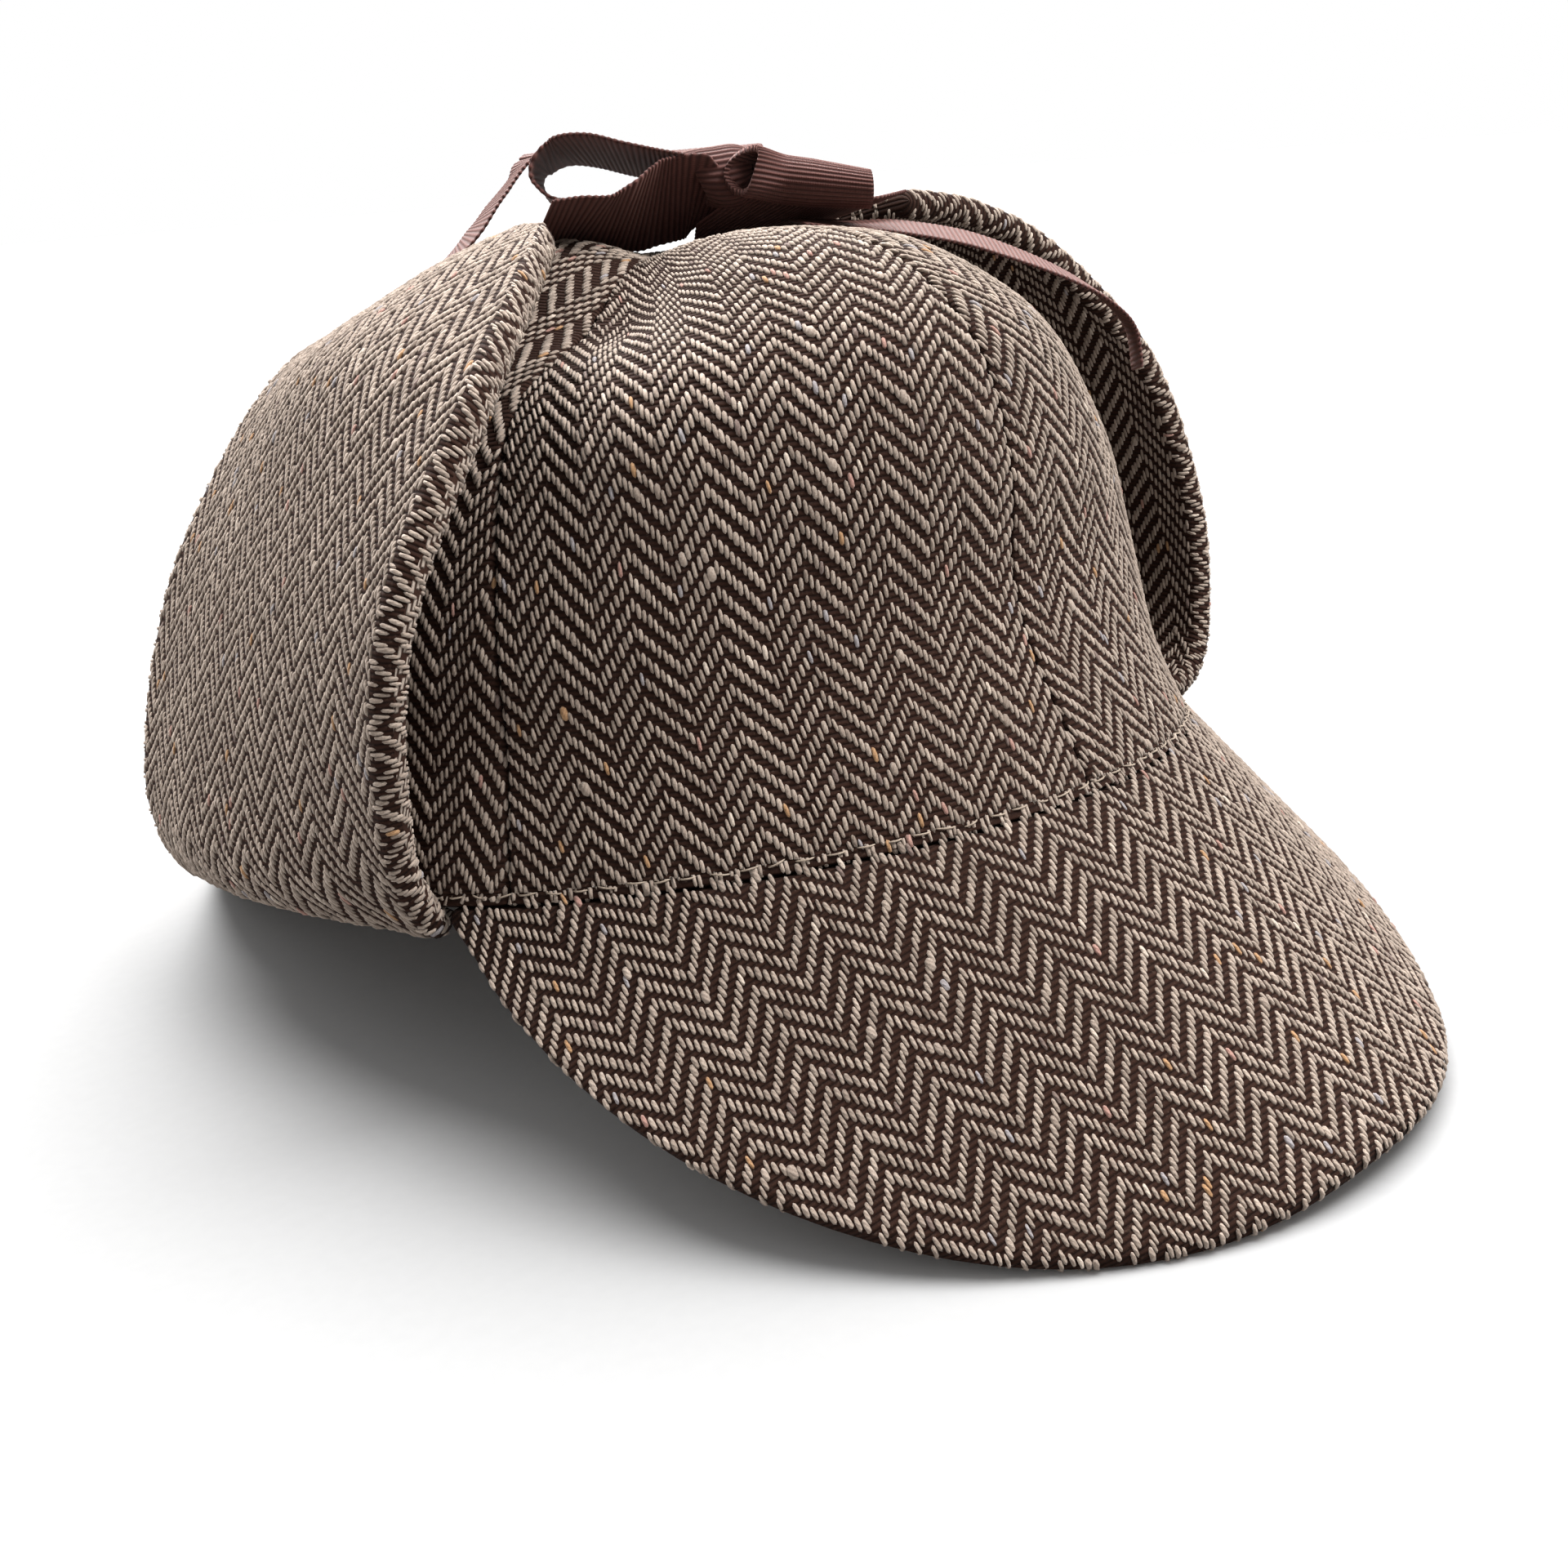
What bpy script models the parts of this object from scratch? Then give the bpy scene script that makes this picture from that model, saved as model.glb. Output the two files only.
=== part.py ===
"""Deerstalker hat in herringbone tweed with tied-up ear flaps and a grosgrain bow.

Metres, +Z up. The wearer looks along -Y and the wearer's right is -X. The pieces are laid
out in the hat's own frame (the head opening on z = 0, millimetres) and then seated: leaned
back by TILT and set down on z = 0, where the two peaks carry the hat, with the middle of
its outline at x = 0, y = 0.
Angles round the head run from the front (0) over the wearer's right (90) to the back (180).
"""
import math

import bpy
import numpy as np

# head opening and crown
HALF_WIDTH = 84.5          # head opening, outer half axis along X
HALF_LENGTH = 102.5        # head opening, outer half axis along Y
POLE_Y = -25.0             # the gores meet in front of the middle of the head
WALL = 2.0                 # crown cloth
GAP = 0.4                  # between neighbouring pieces
GORES = ("front_right", "side_right", "back_right", "back_left", "side_left", "front_left")
GORE_STEPS = 12
GORE_ROWS = 15
NARROW = 0.85              # the narrowest radius of a seam, share of the table's, for its gap
TOP_LEVEL = 11.8           # where the gore tips end, the pole being 12
TILT = math.radians(8.32)  # how far the hat leans back on its peaks
REST_FLAT = 0.8            # how far the resting edges are pressed flat

# crown profile: height, then the share of the base radius left at the angles below
PROFILE_ANGLES = (-180, -105, -50, 0, 60, 105, 180)
PROFILE = (
    (0.0, 1.000, 1.000, 1.000, 1.000, 1.000, 1.000, 1.000),
    (12.0, 0.985, 0.995, 0.988, 0.943, 0.950, 0.968, 0.985),
    (22.0, 0.960, 0.985, 0.988, 0.895, 0.915, 0.938, 0.960),
    (34.0, 0.930, 0.965, 0.978, 0.876, 0.892, 0.900, 0.930),
    (48.0, 0.875, 0.925, 0.958, 0.910, 0.838, 0.838, 0.875),
    (62.0, 0.785, 0.850, 0.905, 0.895, 0.762, 0.742, 0.785),
    (70.0, 0.705, 0.780, 0.850, 0.855, 0.680, 0.655, 0.705),
    (76.0, 0.620, 0.700, 0.785, 0.795, 0.572, 0.560, 0.620),
    (82.0, 0.505, 0.580, 0.685, 0.705, 0.430, 0.445, 0.505),
    (86.5, 0.400, 0.460, 0.560, 0.600, 0.325, 0.345, 0.400),
    (90.0, 0.270, 0.300, 0.360, 0.435, 0.195, 0.225, 0.270),
    (92.4, 0.130, 0.145, 0.175, 0.220, 0.085, 0.110, 0.130),
    (93.4, 0.000, 0.000, 0.000, 0.000, 0.000, 0.000, 0.000),
)
EDGE_LIFT = ((0, 0.0), (62, 0.0), (90, 3.0), (120, 5.0), (180, 4.0))  # the edge rises behind
GORE_BULGE = 0.018         # each gore swells between its seams by this share
HEAD_MIDDLE = (0.0, -20.0, 30.0)
DENTS = (                  # place, spread, depth: the soft hollows and swells of the crown
    (-24.0, -42.0, 80.0, 15.0, 5.5),
    (-42.0, -70.0, 63.0, 14.0, -2.0),
    (-0.5, -25.0, 93.0, 9.0, 3.2),
    (-14.0, -12.0, 91.5, 11.0, -5.0),
)

# peaks: angle from the middle, length, droop below the opening, swing of the rib from -Y
PEAK_THICK = 2.6
PEAK_DROP = 2.1            # middle of the peak's inner rim below the crown's edge
PEAK_RIM = 0.962           # inner rim of the peak, share of the opening's outline
PEAK_STEPS = 28
PEAK_ROWS = (0.04, 0.14, 0.28, 0.44, 0.6, 0.75, 0.88, 0.96, 0.99, 1.0)
FRONT_PEAK = (
    (-65.6, 2.0, 52.0, 57.0),
    (-57.0, 16.5, 53.0, 48.8),
    (-45.0, 36.4, 53.0, 34.0),
    (-30.0, 55.8, 53.0, 19.1),
    (-15.0, 64.4, 50.5, 9.5),
    (0.0, 65.2, 47.8, 0.0),
    (15.0, 67.2, 50.5, 9.5),
    (30.0, 61.3, 52.8, 19.1),
    (45.0, 44.1, 52.6, 34.0),
    (57.0, 22.1, 52.0, 48.8),
    (65.6, 2.0, 52.0, 57.0),
)
BACK_PEAK = (
    (-65.6, 2.0, 52.0, 24.0),
    (-57.0, 8.0, 56.0, 14.0),
    (-45.0, 18.0, 54.0, 4.0),
    (-30.0, 31.5, 36.0, 3.0),
    (-15.0, 38.5, 21.0, 1.5),
    (0.0, 40.0, 16.0, 0.0),
    (15.0, 38.5, 21.0, 1.5),
    (30.0, 31.5, 36.0, 3.0),
    (45.0, 18.0, 54.0, 4.0),
    (57.0, 8.0, 56.0, 14.0),
    (65.6, 2.0, 52.0, 24.0),
)

# ear flaps, rows from the seam to the tip: front edge, middle and back edge of each row
FLAP_THICK = 3.0
FLAP_ACROSS = 14
FLAP_ALONG = 22
FLAP_RIGHT = (
    ((-75.6, -39.5, -1.7), (-82.2, 0.0, 0.9), (-75.6, 39.5, 1.8)),
    ((-78.4, -41.0, -2.6), (-85.2, 0.0, 0.4), (-79.4, 40.8, 1.4)),
    ((-83.0, -44.0, 4.9), (-90.1, 3.0, 6.5), (-79.1, 50.0, 8.2)),
    ((-86.8, -50.0, 14.7), (-88.9, 3.0, 16.6), (-76.1, 56.0, 18.5)),
    ((-88.7, -58.0, 33.1), (-84.3, 1.0, 35.0), (-68.0, 60.0, 36.9)),
    ((-84.7, -63.0, 49.7), (-76.9, -3.5, 53.6), (-58.1, 56.0, 57.4)),
    ((-67.6, -62.0, 70.7), (-61.6, -9.0, 79.3), (-39.7, 44.0, 81.9)),
    ((-46.0, -48.0, 86.5), (-37.5, -7.0, 92.0), (-25.2, 21.2, 89.6)),
    ((-28.0, -31.0, 95.4), (-20.5, -14.0, 98.0), (-13.0, 4.0, 96.0)),
)
FLAP_LEFT = (
    ((75.6, -39.5, -1.7), (82.2, 0.0, 1.1), (75.6, 39.5, 2.7)),
    ((84.0, -42.0, -8.0), (88.0, 0.0, -3.0), (80.0, 42.0, 0.0)),
    ((94.0, -44.0, -9.5), (94.0, 0.0, -1.0), (82.0, 44.5, 3.5)),
    ((105.0, -45.0, -5.0), (99.0, 0.0, 6.0), (82.0, 47.0, 10.0)),
    ((110.5, -45.0, 7.0), (101.0, 1.0, 17.0), (80.0, 50.0, 20.0)),
    ((112.0, -45.0, 29.5), (100.0, 2.0, 38.0), (75.0, 53.0, 38.0)),
    ((104.0, -43.5, 59.0), (91.0, 0.0, 63.5), (64.0, 50.0, 61.5)),
    ((89.0, -36.0, 81.5), (80.0, -3.0, 84.0), (54.0, 38.0, 80.5)),
    ((74.0, -31.0, 91.8), (66.0, -9.0, 92.6), (51.0, 16.0, 89.0)),
    ((58.0, -27.0, 96.0), (54.0, -20.0, 95.5), (48.0, -10.0, 94.0)),
)

# ribbon: each row is a point on the middle line and the direction of the ribbon's width
RIBBON_WIDE = 22.0
RIBBON_THICK = 1.0
KNOT_AT = (13.4, -27.0, 103.4)
KNOT_HALF = (4.9, 5.6, 5.2)
KNOT_TURN = math.radians(-40.0)
KNOT_TAPER = 0.45          # how much thinner the knot is at its two sides
ROLL_FROM = (17.2, -30.0, 102.3)
ROLL_TO = (32.6, -42.7, 97.3)
ROLL_TALL = (4.3, 3.9, 3.2)  # half heights at the start, middle and end
ROLL_DEEP = 7.0
TAIL_GATHER = 0.4          # share of the ribbon's width where the tail leaves the knot
BOW_LOOP_RIGHT = (
    (9.5, -22.8, 106.4, -0.63, -0.76, 0.14),
    (6.0, -19.2, 108.0, -0.63, -0.76, 0.14),
    (2.2, -15.6, 109.4, -0.63, -0.76, 0.14),
    (-1.8, -11.2, 111.2, -0.63, -0.76, 0.14),
    (-5.6, -7.0, 112.0, -0.64, -0.76, 0.10),
    (-8.4, -4.8, 110.4, -0.65, -0.76, 0.06),
    (-9.2, -3.8, 107.8, -0.65, -0.76, 0.02),
    (-8.0, -4.4, 105.0, -0.65, -0.76, 0.00),
    (-5.4, -6.0, 103.2, -0.65, -0.76, 0.00),
    (-2.0, -8.4, 102.2, -0.65, -0.76, 0.00),
    (2.0, -11.0, 102.0, -0.65, -0.76, 0.00),
    (5.8, -13.4, 103.2, -0.65, -0.76, 0.00),
)
RIBBON_TIE_RIGHT = (
    (-18.2, -14.1, 98.7, -0.60, -0.72, 0.25),
    (-12.8, -16.0, 98.9, -0.60, -0.72, 0.25),
    (-8.0, -18.0, 98.8, -0.60, -0.72, 0.27),
    (-4.6, -19.8, 99.2, -0.58, -0.70, 0.34),
    (-1.0, -21.2, 100.2, -0.54, -0.64, 0.46),
    (2.2, -22.8, 101.0, -0.50, -0.60, 0.54),
    (7.3, -26.1, 101.5, -0.50, -0.60, 0.52),
)
RIBBON_TIE_LEFT = (
    (15.5, -19.5, 94.8, -0.30, 0.95, -0.08),
    (27.0, -23.8, 93.8, -0.10, 0.98, -0.03),
    (40.0, -24.6, 94.6, -0.20, 0.96, -0.12),
    (51.4, -19.6, 96.2, -0.46, 0.88, -0.14),
)
RIBBON_TAIL_LEFT = (
    (33.0, -37.0, 91.6, -0.73, -0.65, -0.12),
    (39.0, -41.6, 90.2, -0.73, -0.65, -0.14),
    (47.0, -48.4, 86.8, -0.73, -0.65, -0.15),
    (53.4, -53.8, 82.8, -0.73, -0.65, -0.14),
    (60.6, -60.0, 77.2, -0.73, -0.65, -0.10),
    (65.6, -64.0, 72.0, -0.72, -0.66, -0.05),
    (68.8, -66.6, 66.0, -0.72, -0.66, 0.00),
    (68.8, -67.0, 58.5, -0.72, -0.66, 0.00),
)
RIBBON_TAIL_RIGHT = (
    (17.8, -22.7, 105.2, -0.85, 0.45, 0.00),
    (21.2, -17.8, 108.6, -0.93, 0.30, 0.00),
    (22.6, -9.0, 109.6, -1.00, 0.00, -0.10),
    (20.0, 0.0, 111.6, -0.90, -0.43, -0.10),
    (15.5, 8.0, 114.0, -0.70, -0.70, -0.10),
    (10.8, 11.9, 114.8, -0.60, -0.78, -0.10),
    (6.0, 12.4, 114.8, -0.60, -0.78, -0.12),
    (1.0, 13.4, 113.3, -0.60, -0.78, -0.15),
    (-5.0, 15.7, 108.0, -0.58, -0.80, -0.20),
    (-9.3, 17.7, 103.4, -0.58, -0.78, -0.25),
    (-12.7, 20.2, 99.8, -0.58, -0.78, -0.22),
    (-15.5, 23.0, 97.0, -0.58, -0.78, -0.20),
)


def head(angle, share):
    """Points of the head opening's outline, scaled about the pole by share."""
    return np.stack([-HALF_WIDTH * np.sin(angle) * share,
                     POLE_Y + (-HALF_LENGTH * np.cos(angle) - POLE_Y) * share], -1)


def edge_lift(angle):
    """How far the head opening's edge rises above its plane, eased between the table's rows."""
    turn = np.abs((np.degrees(angle) + 180) % 360 - 180)
    at, rise = np.array(EDGE_LIFT).T
    k = np.clip(np.searchsorted(at, turn, side="right") - 1, 0, len(at) - 2)
    t = (turn - at[k]) / (at[k + 1] - at[k])
    return rise[k] + (rise[k + 1] - rise[k]) * t * t * (3 - 2 * t)


def through(table, steps):
    """A smooth curve through the rows of a table, sampled at steps + 1 places."""
    rows = np.asarray(table, float)
    place = np.linspace(0, len(rows) - 1, steps + 1)
    k = np.minimum(place.astype(int), len(rows) - 2)
    t = (place - k).reshape((-1,) + (1,) * (rows.ndim - 1))
    before, after = np.maximum(k - 1, 0), np.minimum(k + 2, len(rows) - 1)
    a, b, c, d = rows[before], rows[k], rows[k + 1], rows[after]
    return b + 0.5 * t * (c - a + t * (2 * a - 5 * b + 4 * c - d + t * (3 * (b - c) + d - a)))


def unit(vectors):
    return vectors / np.maximum(np.linalg.norm(vectors, axis=-1, keepdims=True), 1e-9)


def normals(grid):
    """Unit normals of a grid of points, from its two directions."""
    return unit(np.cross(np.gradient(grid, axis=0), np.gradient(grid, axis=1)))


def smoothed(angle):
    """Weights of the profile columns at each angle, eased from one column to the next."""
    at = np.radians(PROFILE_ANGLES)
    angle = (angle + math.pi) % (2 * math.pi) - math.pi
    k = np.clip(np.searchsorted(at, angle, side="right") - 1, 0, len(at) - 2)
    t = (angle - at[k]) / (at[k + 1] - at[k])
    t = t * t * (3 - 2 * t)
    weights = np.zeros(angle.shape + (len(at),))
    np.put_along_axis(weights, k[..., None], (1 - t)[..., None], -1)
    np.put_along_axis(weights, k[..., None] + 1, t[..., None], -1)
    return weights


def crown_surface(angle, level):
    """Outside of the crown at an angle and a level (0 at the edge, 12 at the pole)."""
    table = through(PROFILE, 10 * (len(PROFILE) - 1))
    low = np.minimum((10 * level).astype(int), len(table) - 2)
    part = (10 * level - low)[..., None]
    rows = table[low] * (1 - part) + table[low + 1] * part
    height = rows[..., 0]
    share = (rows[..., 1:] * smoothed(angle)).sum(-1)
    swell = np.abs(np.sin(3 * angle)) ** 0.8 * np.sin(math.pi * np.minimum(share, 1)) ** 0.5
    share = share * (1 + GORE_BULGE * swell)
    height = height + edge_lift(angle) * (1 - level / 12)
    skin = np.concatenate([head(angle, share), height[..., None]], -1)
    dented = skin.copy()
    for *place, spread, deep in DENTS:
        off = ((skin - place) ** 2).sum(-1, keepdims=True) / spread ** 2
        dented -= deep * np.exp(-off) * unit(skin - HEAD_MIDDLE)
    return dented


def crown_gore(number):
    """One of the six gores, between the seams at 60 degree steps."""
    levels = np.linspace(0, TOP_LEVEL, GORE_ROWS)
    first, last = math.radians(60 * number), math.radians(60 * number + 60)
    across = np.linspace(0, 1, GORE_STEPS + 1)
    radius = HALF_WIDTH * np.interp(levels, np.arange(len(PROFILE)),
                                    np.array(PROFILE)[:, 1:].min(1))
    back = np.arcsin(np.minimum(0.5 * GAP / (NARROW * radius), 0.5))[:, None]
    angle = (first + back) + (last - first - 2 * back) * across[None, :]
    outside = crown_surface(angle, np.repeat(levels[:, None], GORE_STEPS + 1, 1))
    away = normals(outside)
    away[0, :, 2] = 0
    return outside, outside - WALL * unit(away)


def peak(table, side):
    """A peak: side -1 hangs in front, +1 behind. Rows run from the rim to the free edge."""
    rows = np.array(table)
    reach = rows[-1, 0] - 0.2
    angle = np.linspace(-reach, reach, PEAK_STEPS + 1)
    length, droop, swing = (np.interp(angle, rows[:, 0], rows[:, k]) for k in (1, 2, 3))
    smooth = np.array((1, 2, 3, 2, 1)) / 9
    length, droop, swing = (
        np.convolve(np.pad(v, 2, "reflect", reflect_type="odd"), smooth, "valid")
        for v in (length, droop, swing))
    length = np.maximum(length, 1.5)
    droop, swing = np.radians(droop), np.radians(swing) * np.sign(angle)
    rib = np.stack([-np.sin(swing) * np.cos(droop), side * np.cos(swing) * np.cos(droop),
                    -np.sin(droop)], -1)
    angle = np.radians(angle)
    edge = np.stack([-HALF_WIDTH * np.sin(angle), side * HALF_LENGTH * np.cos(angle),
                     edge_lift(angle if side < 0 else math.pi - angle) - PEAK_DROP], -1)
    rim = edge * (PEAK_RIM, PEAK_RIM, 1)
    grid = np.stack([rim, edge] + [edge + rib * (length * s)[:, None] for s in PEAK_ROWS])
    up = normals(grid)
    up = up * np.sign(up[..., 2:])
    return grid + up * PEAK_THICK / 2, grid - up * PEAK_THICK / 2


def ear_flap(table):
    """A tied-up ear flap: a bent sheet through the rows of its table."""
    rows = through(table, FLAP_ALONG)
    u = np.linspace(-1, 1, FLAP_ACROSS + 1)
    weights = np.stack([u * (u - 1) / 2, 1 - u * u, u * (u + 1) / 2], -1)
    grid = np.einsum("uk,rkc->ruc", weights, rows)
    out = normals(grid)
    return grid + out * FLAP_THICK / 2, grid - out * FLAP_THICK / 2


def strip(table, steps, start=1.0):
    """A length of ribbon along the middle line of its table, gathered at its start."""
    rows = through(table, steps)
    line, across = rows[:, :3], unit(rows[:, 3:])
    along = unit(np.gradient(line, axis=0))
    across = unit(across - along * (across * along).sum(-1, keepdims=True))
    wide = RIBBON_WIDE * (start + (1 - start) * np.minimum(np.linspace(0, 4, steps + 1), 1))
    grid = line[:, None] + np.einsum("r,rc,u->ruc", wide, across, (-0.5, 0, 0.5))
    out = normals(grid)
    return grid + out * RIBBON_THICK / 2, grid - out * RIBBON_THICK / 2


def shell(sides):
    """Closes two matching grids into one skin, facing outward."""
    one, two = sides
    rows, columns = one.shape[:2]
    index = np.arange(rows * columns).reshape(rows, columns)
    other = index + rows * columns
    a, b, c, d = index[:-1, :-1], index[1:, :-1], index[1:, 1:], index[:-1, 1:]
    faces = [np.stack([a, b, c, d], -1), np.stack([a, d, c, b], -1) + rows * columns]
    ring = np.concatenate([index[0, :-1], index[:-1, -1], index[-1, :0:-1], index[:0:-1, 0]])
    far = np.concatenate([other[0, :-1], other[:-1, -1], other[-1, :0:-1], other[:0:-1, 0]])
    faces.append(np.stack([ring, np.roll(ring, -1), np.roll(far, -1), far], -1))
    points = np.concatenate([one.reshape(-1, 3), two.reshape(-1, 3)])
    faces = np.concatenate([f.reshape(-1, 4) for f in faces])
    return points, faces


def knot():
    """The rounded wrap at the middle of the bow."""
    across, round_ = np.linspace(-1, 1, 9), np.linspace(0, 2 * math.pi, 17)[:-1]
    fat = (1 - KNOT_TAPER * np.abs(across) ** 3)[:, None]
    x = np.repeat(across[:, None], 16, 1) * KNOT_HALF[0]
    y, z = KNOT_HALF[1] * fat * np.cos(round_), KNOT_HALF[2] * fat * np.sin(round_)
    turn = np.array([[math.cos(KNOT_TURN), math.sin(KNOT_TURN), 0],
                     [-math.sin(KNOT_TURN), math.cos(KNOT_TURN), 0], [0, 0, 1]])
    points = np.stack([x, y, z], -1).reshape(-1, 3) @ turn + KNOT_AT
    index = np.arange(9 * 16).reshape(9, 16)
    nxt = np.roll(index, -1, 1)
    faces = np.stack([index[:-1], nxt[:-1], nxt[1:], index[1:]], -1).reshape(-1, 4).tolist()
    faces += [index[0, ::-1].tolist(), index[-1].tolist()]
    return points, faces


def rolled_loop():
    """The ribbon's second loop, seen as a short roll open at both ends."""
    start, end = np.array(ROLL_FROM), np.array(ROLL_TO)
    axis = unit(end - start)
    side = unit(np.cross(axis, (0, 0, 1)))
    up = np.cross(side, axis)
    turn = np.linspace(0, 2 * math.pi, 21)[:-1]
    rings = []
    for wall in (0.0, RIBBON_THICK):
        for place, tall in zip((start, 0.5 * (start + end), end), ROLL_TALL):
            rings.append(place + np.cos(turn)[:, None] * side * (ROLL_DEEP - wall)
                         + np.sin(turn)[:, None] * up * (tall - wall))
    points = np.concatenate(rings)
    index = np.arange(6 * 20).reshape(6, 20)
    nxt = np.roll(index, -1, 1)
    pairs = ((0, 1), (1, 2), (2, 5), (5, 4), (4, 3), (3, 0))
    faces = [np.stack([index[a], nxt[a], nxt[b], index[b]], -1) for a, b in pairs]
    return points, np.concatenate(faces)


def seat(points):
    """Leans the hat back about the X axis, still in millimetres."""
    x, y, z = points[:, 0], points[:, 1], points[:, 2]
    return np.stack([x, y * math.cos(TILT) + z * math.sin(TILT),
                     z * math.cos(TILT) - y * math.sin(TILT)], -1)


def pieces():
    """Every piece of the hat by name: its points in millimetres and its faces."""
    made = {}
    for number, where in enumerate(GORES):
        made["crown_gore_" + where] = shell(crown_gore(number))
    made["front_peak"] = shell(peak(FRONT_PEAK, -1))
    made["back_peak"] = shell(peak(BACK_PEAK, 1))
    made["ear_flap_right"] = shell(ear_flap(FLAP_RIGHT))
    made["ear_flap_left"] = shell(ear_flap(FLAP_LEFT))
    made["bow_knot"] = knot()
    made["bow_loop_right"] = shell(strip(BOW_LOOP_RIGHT, 36))
    made["bow_loop_left"] = rolled_loop()
    made["ribbon_tie_right"] = shell(strip(RIBBON_TIE_RIGHT, 12))
    made["ribbon_tie_left"] = shell(strip(RIBBON_TIE_LEFT, 12))
    made["ribbon_tail_right"] = shell(strip(RIBBON_TAIL_RIGHT, 22, TAIL_GATHER))
    made["ribbon_tail_left"] = shell(strip(RIBBON_TAIL_LEFT, 22))
    return made


def outward(points, faces):
    """The faces as lists, turned round if the skin faces inward."""
    faces = [list(map(int, f)) for f in faces]
    volume = 0.0
    for f in faces:
        for k in range(1, len(f) - 1):
            a, b, c = points[f[0]], points[f[k]], points[f[k + 1]]
            volume += float(np.dot(a, np.cross(b, c)))
    return faces if volume > 0 else [f[::-1] for f in faces]


def material(name, colour, roughness):
    made = bpy.data.materials.new(name)
    made.use_nodes = True
    shader = made.node_tree.nodes["Principled BSDF"]
    shader.inputs["Base Color"].default_value = (*colour, 1)
    shader.inputs["Roughness"].default_value = roughness
    return made


for old in list(bpy.data.objects):
    bpy.data.objects.remove(old)

hat = bpy.data.collections.new("deerstalker_hat")
bpy.context.scene.collection.children.link(hat)
seated = {name: (seat(points), faces) for name, (points, faces) in pieces().items()}
every_point = np.concatenate([points for points, _ in seated.values()])
low, high = every_point.min(0), every_point.max(0)
place = (-0.5 * (low[0] + high[0]), -0.5 * (low[1] + high[1]), -low[2] - REST_FLAT)
for name, (points, faces) in seated.items():
    points = points + place
    points[:, 2] = np.maximum(points[:, 2], 0)
    mesh = bpy.data.meshes.new(name)
    mesh.from_pydata((points * 0.001).tolist(), [], outward(points, faces))
    mesh.update()
    piece = bpy.data.objects.new(name, mesh)
    ribbon = name.startswith(("bow", "ribbon"))
    mesh.materials.append(material(name, (0.05, 0.012, 0.01) if ribbon else (0.2, 0.16, 0.14), 0.9))
    hat.objects.link(piece)
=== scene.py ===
import math

import bpy
import numpy as np
from mathutils import Matrix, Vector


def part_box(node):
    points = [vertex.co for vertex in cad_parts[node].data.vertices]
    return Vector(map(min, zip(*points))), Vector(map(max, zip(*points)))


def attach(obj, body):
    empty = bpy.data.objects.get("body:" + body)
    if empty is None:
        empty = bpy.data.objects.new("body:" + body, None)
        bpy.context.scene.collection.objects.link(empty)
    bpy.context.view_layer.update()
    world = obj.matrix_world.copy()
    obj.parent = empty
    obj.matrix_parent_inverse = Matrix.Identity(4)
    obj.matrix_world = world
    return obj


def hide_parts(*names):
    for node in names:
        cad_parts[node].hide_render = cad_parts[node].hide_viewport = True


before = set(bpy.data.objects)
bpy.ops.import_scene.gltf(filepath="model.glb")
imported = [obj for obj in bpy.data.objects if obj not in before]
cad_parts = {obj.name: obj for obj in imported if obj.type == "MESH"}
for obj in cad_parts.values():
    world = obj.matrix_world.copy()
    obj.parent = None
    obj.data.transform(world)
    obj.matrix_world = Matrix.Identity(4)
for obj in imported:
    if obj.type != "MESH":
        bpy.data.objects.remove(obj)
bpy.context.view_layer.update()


# Crown: six gores of woollen herringbone tweed, the warp up the middle of each, sewn together with
# the edges turned in. Shapes are in the hat's own frame, in mm: head opening on z = 0, the wearer
# looking along -Y, angles round the head from the front (0) over the wearer's right (90).

HALF_WIDTH = 84.5
HALF_LENGTH = 102.5
POLE_Y = -25.0
TOP_LEVEL = 11.8
LOW_LEVEL = -0.09     # the hem reaches down on to the peaks
LEVEL_RISE = 12.0     # from the profile's first row to its second
PROFILE_FINE = 10     # steps from one row of the profile to the next
PROFILE_ANGLES = (-180, -105, -50, 0, 60, 105, 180)
PROFILE = (  # height, then the share of the base radius left at each of the angles above
    (0.0, 1.000, 1.000, 1.000, 1.000, 1.000, 1.000, 1.000),
    (12.0, 0.985, 0.995, 0.948, 0.943, 0.950, 0.968, 0.985),
    (22.0, 0.960, 0.985, 0.937, 0.895, 0.915, 0.938, 0.960),
    (34.0, 0.930, 0.965, 0.925, 0.876, 0.892, 0.900, 0.930),
    (48.0, 0.875, 0.925, 0.890, 0.910, 0.838, 0.838, 0.875),
    (62.0, 0.785, 0.850, 0.815, 0.895, 0.762, 0.742, 0.785),
    (70.0, 0.705, 0.780, 0.750, 0.855, 0.680, 0.655, 0.705),
    (76.0, 0.620, 0.700, 0.668, 0.795, 0.572, 0.560, 0.620),
    (82.0, 0.505, 0.580, 0.548, 0.705, 0.430, 0.445, 0.505),
    (86.5, 0.400, 0.460, 0.440, 0.600, 0.325, 0.345, 0.400),
    (90.0, 0.270, 0.300, 0.290, 0.435, 0.195, 0.225, 0.270),
    (92.4, 0.130, 0.145, 0.175, 0.220, 0.085, 0.110, 0.130),
    (93.4, 0.000, 0.000, 0.000, 0.000, 0.000, 0.000, 0.000),
)
EDGE_LIFT = ((0, 0.0), (62, 0.0), (90, 3.0), (120, 5.0), (180, 4.0))
GORE_BULGE = 0.018
HEAD_MIDDLE = (0.0, -20.0, 30.0)
DENTS = (  # place, spread, depth: the soft hollows and swells of the crown
    (-24.0, -42.0, 80.0, 15.0, 5.5),
    (-42.0, -70.0, 63.0, 14.0, -2.0),
    (-0.5, -25.0, 93.0, 9.0, 3.2),
    (-14.0, -12.0, 91.5, 11.0, -5.0),
)
GORES = ("front_right", "side_right", "back_right", "back_left", "side_left", "front_left")
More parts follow.
